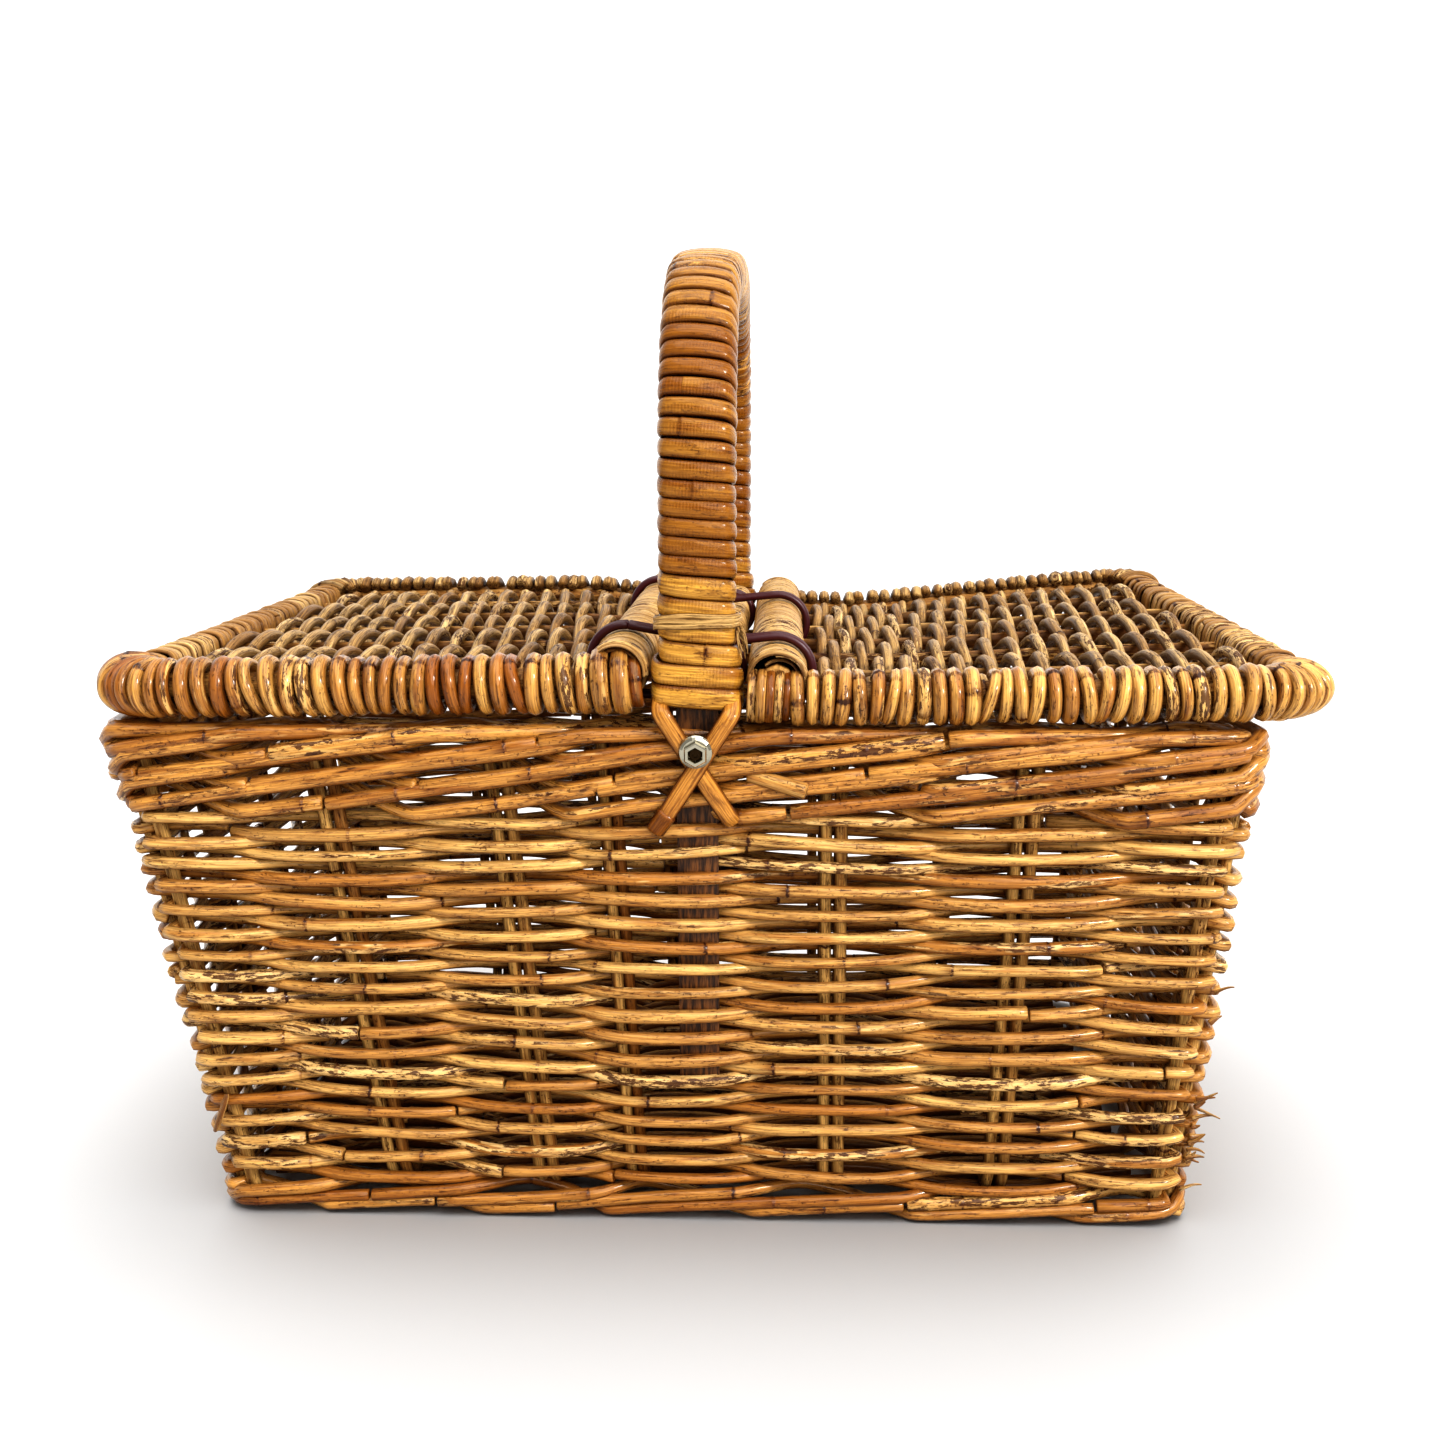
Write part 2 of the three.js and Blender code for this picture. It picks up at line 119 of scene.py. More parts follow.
def sampled(vectors, places, along):
    """Vectors known at the lengths along a path, read off at other places on it."""
    return columns(*[np.interp(places, along, vectors[:, i]) for i in range(3)])


# ---- rods gathered into meshes

# Rings round each node of the cane: shift along the rod, darkness, and girth as a share.
NODE_RINGS = ((-7.0, 0.0, 1.0), (-0.9, 0.4, 1.02), (-0.25, 1.0, 1.07), (0.25, 1.0, 0.96), (1.2, 0.0, 0.98))
# How far apart a rod's nodes are: the usual range, and one so wide that a short rod has hardly any.
NODE_SPACING = (90, 240)
FEW_NODES = (900, 999)
CUT_END = 0.5
CUT_DARKNESS = 0.6
WHOLE_TURN = 6.3


def round_section(sides):
    angle = np.arange(sides) * 2 * math.pi / sides
    return np.stack([np.cos(angle), np.sin(angle)], axis=1)


def split_section(sides):
    """A cane split lengthways: gently rounded outside, nearly flat inside."""
    section = round_section(sides)
    outer = np.maximum(section[:, 1], 0) ** 0.7
    section[:, 1] = np.where(section[:, 1] < 0, 0.3 * section[:, 1], outer)
    return section


class Bundle:
    """Swept rods in one mesh, with the point data that the cane paint reads."""

    def __init__(self):
        self.corners, self.quads, self.triangles = [], [], []
        self.grain, self.tone, self.ring = [], [], []
        self.count = 0

    def rod(self, path, radius, side, tone, section=None, flat=1.0, spacing=NODE_SPACING, step=9.0,
            turn=0.35, ends=0.85):
        """Sweeps a section along a path. Side is a direction square to the path, and flat is the
        section's height as a share of its width. Rings stand at most a step or a turn apart, and
        ends is the girth of the two cut ends as a share."""
        section = round_section(8) if section is None else section
        stations, ring, scale = self.stations(path, spacing, step, turn)
        along = lengths_along(path)
        centre = sampled(path, stations, along)
        facing = sampled(np.broadcast_to(side, path.shape), stations, along)
        forward = tangents_of(centre)
        facing = unit(facing - np.sum(facing * forward, axis=1, keepdims=True) * forward)
        across = np.cross(forward, facing)
        girth = np.interp(stations, np.linspace(0, along[-1], np.size(radius)), np.atleast_1d(radius))
        phase = uniform(0, WHOLE_TURN)
        girth = girth * scale * (1 + 0.035 * wander(stations, 47, phase))
        girth[[0, -1]] *= ends
        self.add_rings(centre, facing, across, girth, section, flat, stations, ring, tone)

    def stations(self, path, spacing, step, turn):
        """Where the rings stand: closer in bends, and four round every node of the cane."""
        along = lengths_along(path)
        total = along[-1]
        heading = unit(np.diff(path, axis=0))
        bend = np.arccos(np.clip(np.sum(heading[1:] * heading[:-1], axis=1), -1, 1))
        effort = np.diff(along) / step
        effort[:-1] += bend / turn / 2
        effort[1:] += bend / turn / 2
        effort = np.concatenate([[0], np.cumsum(effort)])
        plain = np.interp(np.linspace(0, effort[-1], max(3, int(effort[-1]) + 2)), effort, along)
        cut = min(CUT_END, total / 8)
        plain = np.concatenate([[0, cut], plain[1:-1], [total - cut, total]])
        nodes = []
        place = uniform(0.1, 1) * spacing[0]
        while place < total - 4:
            if place > 9:
                nodes.append(place)
            place += uniform(*spacing)
        rows = []
        for node in nodes:
            plain = plain[(plain < node - 8) | (plain > node + 2.2)]
            strength = uniform(0.3, 0.95)
            rows += [(node + shift, ring * strength, scale) for shift, ring, scale in NODE_RINGS]
        rows += [(place, 0.0, 1.0) for place in plain]
        rows = np.array(sorted(row for row in rows if 0 <= row[0] <= total))
        return rows[:, 0], rows[:, 1], rows[:, 2]

    def add_rings(self, centre, facing, across, girth, section, flat, stations, ring, tone):
        """Joins rings of corners into a closed tube, and notes each corner's grain, tone and ring."""
        rings, sides = len(centre), len(section)
        total = rings * sides
        girth = girth[:, None, None]
        corners = centre[:, None] + across[:, None] * (section[None, :, 0:1] * girth)
        corners += facing[:, None] * (section[None, :, 1:2] * girth * flat)
        ragged = wander(np.arange(sides), sides, uniform(0, 6)) * 0.35
        corners += tangents_of(centre)[:, None] * ((ring > 0.5)[:, None] * ragged)[:, :, None]
        tone = (*tone, uniform(0, 1))
        start = uniform(0, 400)
        grain = columns(np.repeat(stations + start, sides), *np.tile(section.T, rings))
        index = self.count + np.arange(total).reshape(rings, sides)
        following = np.roll(index, -1, axis=1)
        quads = np.stack([index[:-1], following[:-1], following[1:], index[1:]], axis=-1)
        self.quads.append(quads.reshape(-1, 4))
        middle = self.count + total
        self.triangles.append(columns(middle, following[0], index[0]).astype(int))
        self.triangles.append(columns(middle + 1, index[-1], following[-1]).astype(int))
        self.corners += [corners.reshape(-1, 3), centre[[0, -1]]]
        self.grain += [grain, [[start, 0, 0], [start + stations[-1], 0, 0]]]
        self.tone.append(np.tile(tone, (total + 2, 1)))
        self.ring += [np.repeat(ring, sides), [CUT_DARKNESS] * 2]
        self.count += total + 2

    def finish(self, name, body, paint, slot, *nodes, is_smooth=True):
        """Makes the mesh, lets it ride on a body and stands it in for its CAD nodes."""
        mesh = bpy.data.meshes.new(name)
        corners = np.concatenate(self.corners) * MM
        quads, triangles = np.concatenate(self.quads), np.concatenate(self.triangles)
        mesh.vertices.add(len(corners))
        mesh.vertices.foreach_set("co", corners.astype(np.float32).ravel())
        mesh.loops.add(quads.size + triangles.size)
        loops = np.concatenate([quads.ravel(), triangles.ravel()])
        mesh.loops.foreach_set("vertex_index", loops.astype(np.int32))
        sizes = np.concatenate([np.full(len(quads), 4), np.full(len(triangles), 3)])
        mesh.polygons.add(len(sizes))
        starts = np.concatenate([[0], np.cumsum(sizes)[:-1]])
        mesh.polygons.foreach_set("loop_start", starts.astype(np.int32))
        mesh.update(calc_edges=True)
        mesh.validate()
        mesh.polygons.foreach_set("use_smooth", np.full(len(sizes), is_smooth))
        for key, kind, field, values in (
            ("grain", "FLOAT_VECTOR", "vector", np.concatenate(self.grain)),
            ("tone", "FLOAT_VECTOR", "vector", np.concatenate(self.tone)),
            ("ring", "FLOAT", "value", np.concatenate(self.ring)),
        ):
            attribute = mesh.attributes.new(key, kind, "POINT")
            attribute.data.foreach_set(field, values.astype(np.float32).ravel())
        piece = new_object(name, mesh)
        mesh.materials.append(paint)
        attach(piece, body)
        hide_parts(*nodes)


def cane_tone(lightness, spread, bark):
    """How pale a rod is and how much of its bark it keeps, each from 0 to 1. Lightness is the
    middle of a range of this spread, and bark is the share of rods that keep most of theirs."""
    pale = np.clip(RANDOM.normal(lightness, spread), 0.02, 0.98)
    kept = uniform(0.55, 1.0) if uniform() < bark else uniform(0, 0.4)
    return pale, kept


# ---- cane and other paints


class Nodes:
    """A node tree that is built one node at a time."""

    def __init__(self, owner):
        owner.use_nodes = True
        self.nodes, self.links = owner.node_tree.nodes, owner.node_tree.links

    def put(self, socket, value):
        if isinstance(value, bpy.types.NodeSocket):
            self.links.new(value, socket)
        else:
            socket.default_value = value

    def attribute(self, name, output):
        node = self.nodes.new("ShaderNodeAttribute")
        node.attribute_name = name
        return node.outputs[output]

    def split(self, vector):
        node = self.nodes.new("ShaderNodeSeparateXYZ")
        self.put(node.inputs[0], vector)
        return node.outputs

    def math(self, operation, a, b=0.0, clamp=False):
        node = self.nodes.new("ShaderNodeMath")
        node.operation, node.use_clamp = operation, clamp
        self.put(node.inputs[0], a)
        self.put(node.inputs[1], b)
        return node.outputs[0]

    def times(self, a, b):
        return self.math("MULTIPLY", a, b)

    def plus(self, a, b):
        return self.math("ADD", a, b)

    def noise(self, x, y, z, detail, roughness):
        """Noise whose lumps are about one unit wide in each of the given coordinates."""
        place = self.nodes.new("ShaderNodeCombineXYZ")
        for socket, value in zip(place.inputs, (x, y, z)):
            self.put(socket, value)
        node = self.nodes.new("ShaderNodeTexNoise")
        self.put(node.inputs["Vector"], place.outputs[0])
        node.inputs["Scale"].default_value = 1.0
        node.inputs["Detail"].default_value = detail
        node.inputs["Roughness"].default_value = roughness
        return node.outputs["Fac"]

    def ramp(self, value, low, high, start=0.0, end=1.0, easing="SMOOTHSTEP"):
        """Goes from start to end while the value rises from low to high."""
        node = self.nodes.new("ShaderNodeMapRange")
        node.interpolation_type = easing
        for socket, number in zip(node.inputs, (value, low, high, start, end)):
            self.put(socket, number)
        return node.outputs[0]

    def mix(self, share, a, b):
        """Colour a, turning into colour b as the share rises from 0 to 1."""
        node = self.nodes.new("ShaderNodeMix")
        node.data_type = "RGBA"
        self.put(node.inputs[0], share)
        self.put(node.inputs[6], a)
        self.put(node.inputs[7], b)
        return node.outputs[2]


class Paint(Nodes):
    """A material made of nodes."""

    def __init__(self, name):
        self.material = bpy.data.materials.new(name)
        super().__init__(self.material)
        self.shader = self.nodes["Principled BSDF"]

    def bump(self, height, distance):
        """Makes the surface stand out by its height, as far as the distance in metres."""
        node = self.nodes.new("ShaderNodeBump")
        node.inputs["Strength"].default_value = 0.9
        node.inputs["Distance"].default_value = distance
        self.put(node.inputs["Height"], height)
        self.put(self.shader.inputs["Normal"], node.outputs[0])

    def shade(self, **values):
        """Sets the shader's sockets by name, with _ for each space."""
        for name, value in values.items():
            self.put(self.shader.inputs[name.replace("_", " ")], value)


def colour(red, green, blue):
    """A colour given as 0-255 screen values, in the linear form that shaders use."""
    def linear(value):
        share = value / 255
        return share / 12.92 if share <= 0.04045 else ((share + 0.055) / 1.055) ** 2.4
    return linear(red), linear(green), linear(blue), 1.0


def cane_paint(name, pale, warm, deep, bloom, gloss=0.35, varnish=0.2, worn=0.85, streaks=0.6, ribs=0.0,
               is_split=False):
    """Varnished cane: long fibres, darker patches, ragged nodes, pits and flakes of bark. Painted
    shade darkens the sides that lie against neighbouring canes. Pale, warm and deep are the cane's
    colours from its lightest to its darkest, and bloom is the colour of rods that keep their bark."""
    paint = Paint(name)
    pale, warm, deep, bloom = (colour(*shade) for shade in (pale, warm, deep, bloom))
    along, turn_x, turn_y = paint.split(paint.attribute("grain", "Vector"))
    lightness, bark, seed = paint.split(paint.attribute("tone", "Vector"))
    ring = paint.attribute("ring", "Fac")
    shift = paint.times(seed, 190.0)

    def field(length, round_count, detail=2.0, roughness=0.5, offset=0.0):
        """Noise stretched along the rod, different on every rod."""
        run = paint.plus(paint.plus(paint.math("DIVIDE", along, length), shift), offset)
        return paint.noise(run, paint.times(turn_x, round_count), paint.times(turn_y, round_count), detail,
                           roughness)

    fibre = field(24, 5.0, 3.0, 0.6)
    fine = field(8, 11.0, 2.0, 0.6, 40)
    patch = field(34, 0.8, 2.0, 0.55, 80)
    smear = field(13, 1.6, 3.0, 0.6, 120)
    dash = field(3.6, 6.0, 2.0, 0.55, 160)
    speck = field(1.3, 2.4, 2.0, 0.55, 240)
    flake = field(6.5, 1.7, 5.0, 0.68, 200)
    dark = colour(62, 28, 8)

    # Bare cane: its colour, patches and fibres, with painted shade where it lies against its neighbours.
    base = paint.mix(paint.ramp(lightness, 0.1, 0.9), warm, pale)
    base = paint.mix(paint.ramp(patch, 0.45, 0.7, 0.0, 0.8), base, warm)
    base = paint.mix(paint.ramp(smear, 0.5, 0.74, 0.0, 0.7), base, deep)
    base = paint.mix(paint.ramp(fibre, 0.38, 0.64, 0.0, 0.75 * streaks), base, deep)
    base = paint.mix(paint.ramp(fine, 0.47, 0.68, 0.0, 0.5 * streaks), base, deep)
    # Painted shade: split strips darken towards both edges, round rods on their underside and, less, along
    # their top.
    if is_split:
        painted_crevice_shade = paint.ramp(paint.math("ABSOLUTE", turn_x), 0.62, 0.96, 0.0, 0.85)
    else:
        painted_underside_shade = paint.ramp(turn_y, -1.0, -0.2, 0.8, 0.0)
        painted_crevice_shade = paint.math("MAXIMUM", painted_underside_shade, paint.ramp(turn_y, 0.55, 1.0, 0.0, 0.4))
    base = paint.mix(painted_crevice_shade, base, deep)

    # Pale bark with dark flakes, on the rods that keep it.
    peeled = paint.ramp(paint.plus(bark, paint.ramp(patch, 0.35, 0.65, -0.3, 0.3)), 0.5, 0.62)
    base = paint.mix(paint.times(peeled, paint.ramp(smear, 0.35, 0.6, 0.9, 0.3)), base, bloom)
    stain = paint.times(paint.ramp(flake, 0.51, 0.535), peeled)
    base = paint.mix(paint.times(stain, 0.88), base, colour(72, 32, 10))

    # Pits that hold dirt, fine ribs across the cane, and its nodes.
    dirt = paint.ramp(smear, 0.38, 0.64, 0.05, worn)
    dashes = paint.times(paint.ramp(dash, 0.57, 0.64), dirt)
    pits = paint.math("MAXIMUM", dashes, paint.times(paint.ramp(speck, 0.6, 0.68), dirt))
    base = paint.mix(pits, base, dark)
    wrinkle = paint.times(paint.math("SINE", paint.times(along, 5.2)), 0.5)
    wrinkle = paint.times(wrinkle, paint.ramp(patch, 0.42, 0.6, 0.0, ribs))
    base = paint.mix(paint.math("MULTIPLY", wrinkle, 0.5, True), base, deep)
    sheath = paint.times(paint.ramp(ring, 0.05, 0.4), paint.ramp(fibre, 0.3, 0.65, 0.15, 0.75))
    base = paint.mix(sheath, base, deep)
    ragged = paint.plus(ring, paint.ramp(speck, 0.35, 0.65, -0.2, 0.25))
    base = paint.mix(paint.ramp(ragged, 0.5, 0.85, 0.0, 0.95), base, dark)

    rough = paint.plus(paint.ramp(smear, 0.35, 0.75, gloss, gloss + 0.2), paint.times(stain, 0.2))
    paint.shade(Base_Color=base, Roughness=rough, Specular_IOR_Level=0.12, Coat_Weight=varnish,
                Coat_Roughness=0.15)
    height = paint.plus(paint.times(fibre, 0.6), paint.times(fine, 0.35))
    for hollow in (paint.times(pits, 0.6), paint.times(stain, 0.3), wrinkle):
        height = paint.math("SUBTRACT", height, hollow)
    paint.bump(height, 0.00045)
    return paint.material


def plain_paint(name, shade, roughness, metallic=0.0):
    paint = Paint(name)
    paint.shade(Base_Color=shade, Roughness=roughness, Metallic=metallic)
    return paint.material


def wood_paint(name, pale, deep):
    """Bare dark wood with its grain running up the piece."""
    paint = Paint(name)
    x, y, z = paint.split(paint.nodes.new("ShaderNodeTexCoord").outputs["Object"])
    grain = paint.noise(paint.times(x, 900.0), paint.times(y, 900.0), paint.times(z, 45.0), 4.0, 0.6)
    paint.shade(Base_Color=paint.mix(paint.ramp(grain, 0.35, 0.7), deep, pale), Roughness=0.55)
    paint.bump(grain, 0.0006)
    return paint.material


WALL_PAINT = cane_paint(
    "wall_cane", (244, 196, 120), (188, 126, 54), (98, 50, 14), (242, 204, 140), 0.32, 0.45, 0.75)
BORDER_PAINT = cane_paint(
    "border_cane", (226, 167, 87), (156, 94, 31), (94, 44, 9), (230, 184, 114), 0.28, 0.6, 0.75)
STAKE_PAINT = cane_paint(
    "stake_cane", (238, 192, 118), (156, 102, 46), (82, 46, 18), (226, 180, 112), 0.45, 0.1)
LID_PAINT = cane_paint(
    "lid_cane", (222, 184, 122), (164, 122, 66), (76, 48, 24), (226, 190, 130), 0.4, 0.2, 0.85, 0.8)
LOOP_PAINT = cane_paint(
    "loop_cane", (240, 188, 106), (164, 100, 34), (88, 42, 10), (238, 194, 122), 0.26, 0.6, 0.8)
HANDLE_PAINT = cane_paint(
    "handle_cane", (226, 172, 80), (138, 80, 12), (98, 52, 8), (214, 162, 84), 0.2, 0.35, 0.5,
    ribs=0.3, is_split=True)
LASHING_PAINT = cane_paint(
    "lashing_cane", (216, 154, 72), (162, 100, 32), (98, 50, 12), (220, 168, 92), 0.26, 0.5, 0.3, 0.7,
    is_split=True)
FLAT_PAINT = cane_paint(
    "flat_cane", (226, 186, 122), (178, 132, 72), (100, 64, 30), (228, 190, 128), 0.4, 0.2, 0.6,
    is_split=True)
BAND_PAINT = plain_paint("dark_band", colour(70, 22, 28), 0.35)
WOOD_PAINT = wood_paint("handle_wood", colour(124, 78, 34), colour(46, 24, 8))
STEEL_PAINT = plain_paint("zinc_steel", colour(184, 178, 160), 0.13, 1.0)
DARK_STEEL_PAINT = plain_paint("bolt_tip", colour(60, 46, 30), 0.4, 1.0)

# ---- the tapered body

WALL_THICKNESS = 16.0
RIM_PROUD = 1.5
FOOT_PROUD = 1.0
foot_low, foot_high = box_mm("foot_border")
rim_low, rim_high = box_mm("rim_border")
FOOT_TOP, RIM_TOP = foot_high[2], rim_high[2]
RIM_BOTTOM = rim_low[2]


def between(foot, rim, level):
    """A value that changes evenly from the top of the foot border to the top of the rim."""
    return foot + (rim - foot) * (np.asarray(level, float) - FOOT_TOP) / (RIM_TOP - FOOT_TOP)


def left_face(level):
    return between(foot_low[0] + FOOT_PROUD, rim_low[0] + RIM_PROUD, level)


def right_face(level):
    return between(foot_high[0] - FOOT_PROUD, rim_high[0] - RIM_PROUD, level)


def depth_face(level):
    return between(foot_high[1] - FOOT_PROUD, rim_high[1] - RIM_PROUD, level)


def front_face(level):
    return -depth_face(level)


# The outer faces of opposite walls, along X and along Y.
FACES = ((left_face, right_face), (front_face, depth_face))


def middle_share(node, axis):
    """How far a stake stands across its wall, as a share of the wall's width."""
    middle = sum(box_mm(node)) / 2
    start, end = (face(middle[2]) for face in FACES[axis])
    return (middle[axis] - start) / (end - start)


CROSS_STAKES = [f"cross_stake_{i}" for i in range(1, 6)]
LONG_STAKES = [f"long_stake_{i}" for i in range(1, 4)]
CORNER_STAKES = [f"corner_stake_{end}_{side}" for end in ("front", "back") for side in ("left", "right")]
CROSS_SHARES = [middle_share(node, 0) for node in CROSS_STAKES]
LONG_SHARES = [middle_share(node, 1) for node in LONG_STAKES]
CORNER_BEND = 8.0
# Each wall ends in a corner stick, so every corner has two of them.
FRONT_PLACES = [0.036] + CROSS_SHARES + [0.964]
SIDE_PLACES = [0.05] + LONG_SHARES + [0.95]
STAKE_COUNT = 2 * (len(FRONT_PLACES) + len(SIDE_PLACES))

# The walls in order round the basket, each with its stakes' places and which way it runs.
SIDES = (
    (X_AXIS, -Y_AXIS, FRONT_PLACES),
    (Y_AXIS, X_AXIS, SIDE_PLACES),
    (-X_AXIS, Y_AXIS, [1 - share for share in reversed(FRONT_PLACES)]),
    (-Y_AXIS, -X_AXIS, [1 - share for share in reversed(SIDE_PLACES)]),
)


def side_extent(side, level):
    """Start, end and distance of one wall's middle plane, along and out of that wall."""
    inset = WALL_THICKNESS / 2
    left, right = left_face(level) + inset, right_face(level) - inset
    depth = depth_face(level) - inset
    front, back = (left, right, depth), (-right, -left, depth)
    return (front, (-depth, depth, right), back, (-depth, depth, -left))[side]


def round_the_wall(stake, level):
    """Points and outward directions on the walls' middle plane. Stake counts the stakes from 0 at
    the front left corner. It is a whole number midway between two stakes, half way on at a stake."""
    stake = np.mod(np.asarray(stake, float), STAKE_COUNT)
    level = np.broadcast_to(np.asarray(level, float), stake.shape)
    points, outwards = np.zeros(stake.shape + (3,)), np.zeros(stake.shape + (3,))
    first = 0
    for side, (run, out, shares) in enumerate(SIDES):
        last = first + len(shares)
        here = (stake >= first) & (stake < last)
        start, end, distance = side_extent(side, level[here])
        inset = WALL_THICKNESS / 2
        wide = end - start + 2 * inset
        counts = np.concatenate([[0], np.arange(len(shares)) + 0.5, [len(shares)]])
        share = np.interp(stake[here] - first, counts, [0.0] + list(shares) + [1.0])
        place = np.clip(share * wide - inset, 0, end - start)
        from_start, from_end = place, end - start - place
        at_end, at_start = (np.clip(1 - rest / CORNER_BEND, 0, 1) for rest in (from_end, from_start))
        tilt = math.pi / 4 * (at_end - at_start)
        near = np.where(from_start < from_end, start + CORNER_BEND, end - CORNER_BEND)
        coordinate = np.where(tilt == 0, start + place, near + CORNER_BEND * np.sin(tilt))
        reach = distance - CORNER_BEND * (1 - np.cos(tilt))
        points[here] = coordinate[:, None] * run + reach[:, None] * out
        outwards[here] = np.sin(tilt)[:, None] * run + np.cos(tilt)[:, None] * out
        first = last
    points[..., 2] = level
    return points, outwards


def even_stakes(start, end, step=4.0):
    """Stake counts from start to end whose points on the wall are about one step apart."""
    coarse = np.linspace(start, end, int((end - start) * 40) + 2)
    length = lengths_along(round_the_wall(coarse, 100.0)[0])
    return np.interp(np.arange(0, length[-1] + step, step).clip(max=length[-1]), length, coarse)


def height_drift(stake, row):
    """How far the weave rises and falls along a row; neighbouring rows follow each other."""
    turn = 2 * math.pi * np.asarray(stake) / STAKE_COUNT
    return (
        0.9 * np.sin(3 * turn + 0.13 * row)
        + 0.8 * np.sin(7 * turn - 0.21 * row + 1.0)
        + 0.5 * np.sin(13 * turn + 0.35 * row + 2.0)
    )


WEAVER_RADIUS = 2.7
WEAVER_SWING = 5.2
ROW_PITCH = 4.76
FACE_OF_WEAVE = 6.5
WALLS = ("front_wall", "back_wall", "left_wall", "right_wall")


def rod_spans(first, shortest, longest):
    """Where the rods of one row begin and end, as stake counts, going once round from the first."""
    cuts = [first]
    while cuts[-1] < first + STAKE_COUNT - (shortest - 0.1):
        cuts.append(cuts[-1] + uniform(shortest, longest))
    cuts[-1] = first + STAKE_COUNT
    return zip(cuts[:-1], cuts[1:])


def wall_weave():
    """Rods woven over one stake and under the next, in rows from the foot to the rim."""
    bundle = Bundle()
    for row in range(int((RIM_BOTTOM - FOOT_TOP) / ROW_PITCH)):
        spans = rod_spans(uniform(0, STAKE_COUNT), 3.6, 9.5)
        level = FOOT_TOP + ROW_PITCH * (row + 0.5) + RANDOM.normal(0, 0.4)
        for start, end in spans:
            stake = even_stakes(start, end - 0.015)
            radius = WEAVER_RADIUS * uniform(0.84, 1.13)
            beat = np.tanh(1.5 * np.sin(math.pi * stake)) / math.tanh(1.5)
            swing = math.copysign(WEAVER_SWING, row % 2 - 0.5) * beat * uniform(0.9, 1.12)
            phase = uniform(0, WHOLE_TURN)
            points, outwards = round_the_wall(stake, weaver_height(stake, start, end, row, level, phase))
            offset = swing + 0.5 * wander(stake, 2.3, phase)
            bundle.rod(points + outwards * offset[:, None], radius, Z_AXIS, cane_tone(0.64, 0.22, 0.17))
    cut_stub(bundle)
    folded_splinter(bundle)
    frayed_corner(bundle)
    bundle.finish("wall_weave", "basket", WALL_PAINT, "wall_cane", *WALLS)


def weaver_height(stake, start, end, row, level, phase):
    """The level of one rod along its row. Both its ends rise or both dip, as its phase decides."""
    to_tip = np.minimum(stake - start, end - stake)
    ends = math.copysign(0.9, phase - 3) * smooth(1 - to_tip / 0.5)
    return level + height_drift(stake, row) + 0.8 * wander(stake, 3.1, phase + 1) + ends


def cut_stub(bundle):
    """The cut end of a rod that stands out below the rim, right of the handle's foot."""
    level = np.array([193.0, 190.5, 188.0])
    path = columns([20.0, 31.0, 42.0], [3.0, -1.0, -4.0] - depth_face(level), level)
    bundle.rod(path, 3.4, Z_AXIS, (0.9, 0.2), spacing=FEW_NODES, step=3)


def folded_splinter(bundle):
    """A rod split in three strands, folded out of the lower left corner."""
    points, outwards = round_the_wall(np.full(9, 0.4), np.linspace(38, 52, 9))
    fold = points + outwards * (8.6 + 2.5 * np.sin(np.linspace(0, 3, 9)))[:, None]
    fold[:, 0] += 7 * np.sin(np.linspace(0, 1.6, 9)) - 2
    for shift in (0.0, 1.6, 3.2):
        strand = fold + [shift * 0.6, -0.3 * shift, shift]
        bundle.rod(strand, 1.0, Y_AXIS, (0.8, 0.2), spacing=FEW_NODES, step=3)


def loose_fibre(bundle, start, reach, curl, radii, tone, sides):
    """A thin fibre that stands off the cane, bowed sideways by its curl."""
    share = np.linspace(0, 1, 6)[:, None]
    path = start + share * reach + share * (1 - share) * curl
    bundle.rod(path, radii, Y_AXIS, tone, round_section(sides), spacing=FEW_NODES, step=3)


def frayed_corner(bundle):
    """Torn tips round the front right corner, most of them low down."""
    for level in np.concatenate([uniform(14, 62, 16), uniform(90, 112, 2)]):
        points, outwards = round_the_wall([6.8 + uniform(-0.1, 0.4)], level)
        start = points[0] + outwards[0] * FACE_OF_WEAVE
        reach = np.array([uniform(3, 11), uniform(-2.5, 1), uniform(-5, 8)])
        curl = np.array([0, -1.0, 1.5]) * uniform(-3, 4)
        radii = [uniform(0.7, 1.6), 0.3]
        loose_fibre(bundle, start, reach, curl, radii, (uniform(0.3, 0.9), 0.3), 6)


def wale(bundle, bottom, rise, radius, swing, ceiling, crowd, tone):
    """Three rods that travel together, each outside two stakes and inside the third. Each climbs by
    the rise before it dips inside. Where it would pass the ceiling, it is held there and moves
    inwards, by crowd for each millimetre."""
    for strand in range(3):
        for start, end in rod_spans(strand + uniform(0, 2), 2.6, 6.5):
            stake = even_stakes(start, end - 0.02)
            beat = np.mod(stake - strand, 3)
            inside = smooth((0.62 - np.abs(beat - 2.5)) / 0.5)
            climb = np.where(beat < 2.2, beat / 2.2, 1 - smooth((beat - 2.2) / 0.8))
            phase = uniform(0, WHOLE_TURN)
            height = bottom + rise * climb + 0.7 * wander(stake, 4.3, phase)
            over = np.clip(height - ceiling, 0, None)
            offset = swing * (1 - 2 * inside) - crowd * over + 0.6 * wander(stake, 3.7, phase + 2)
            points, outwards = round_the_wall(stake, np.clip(height, 1.2 * radius, ceiling))
            girth = radius * uniform(0.92, 1.1)
            bundle.rod(points + outwards * offset[:, None], girth, Z_AXIS, cane_tone(*tone))


def rim_border():
    bundle = Bundle()
    for layer in range(3):
        wale(bundle, RIM_BOTTOM + 11.0 * layer, 20.0, 3.25, 6.4, RIM_TOP - 3.6, 1.0, (0.66, 0.18, 0.13))
    bundle.finish("rim_weave", "basket", BORDER_PAINT, "border_cane", "rim_border")


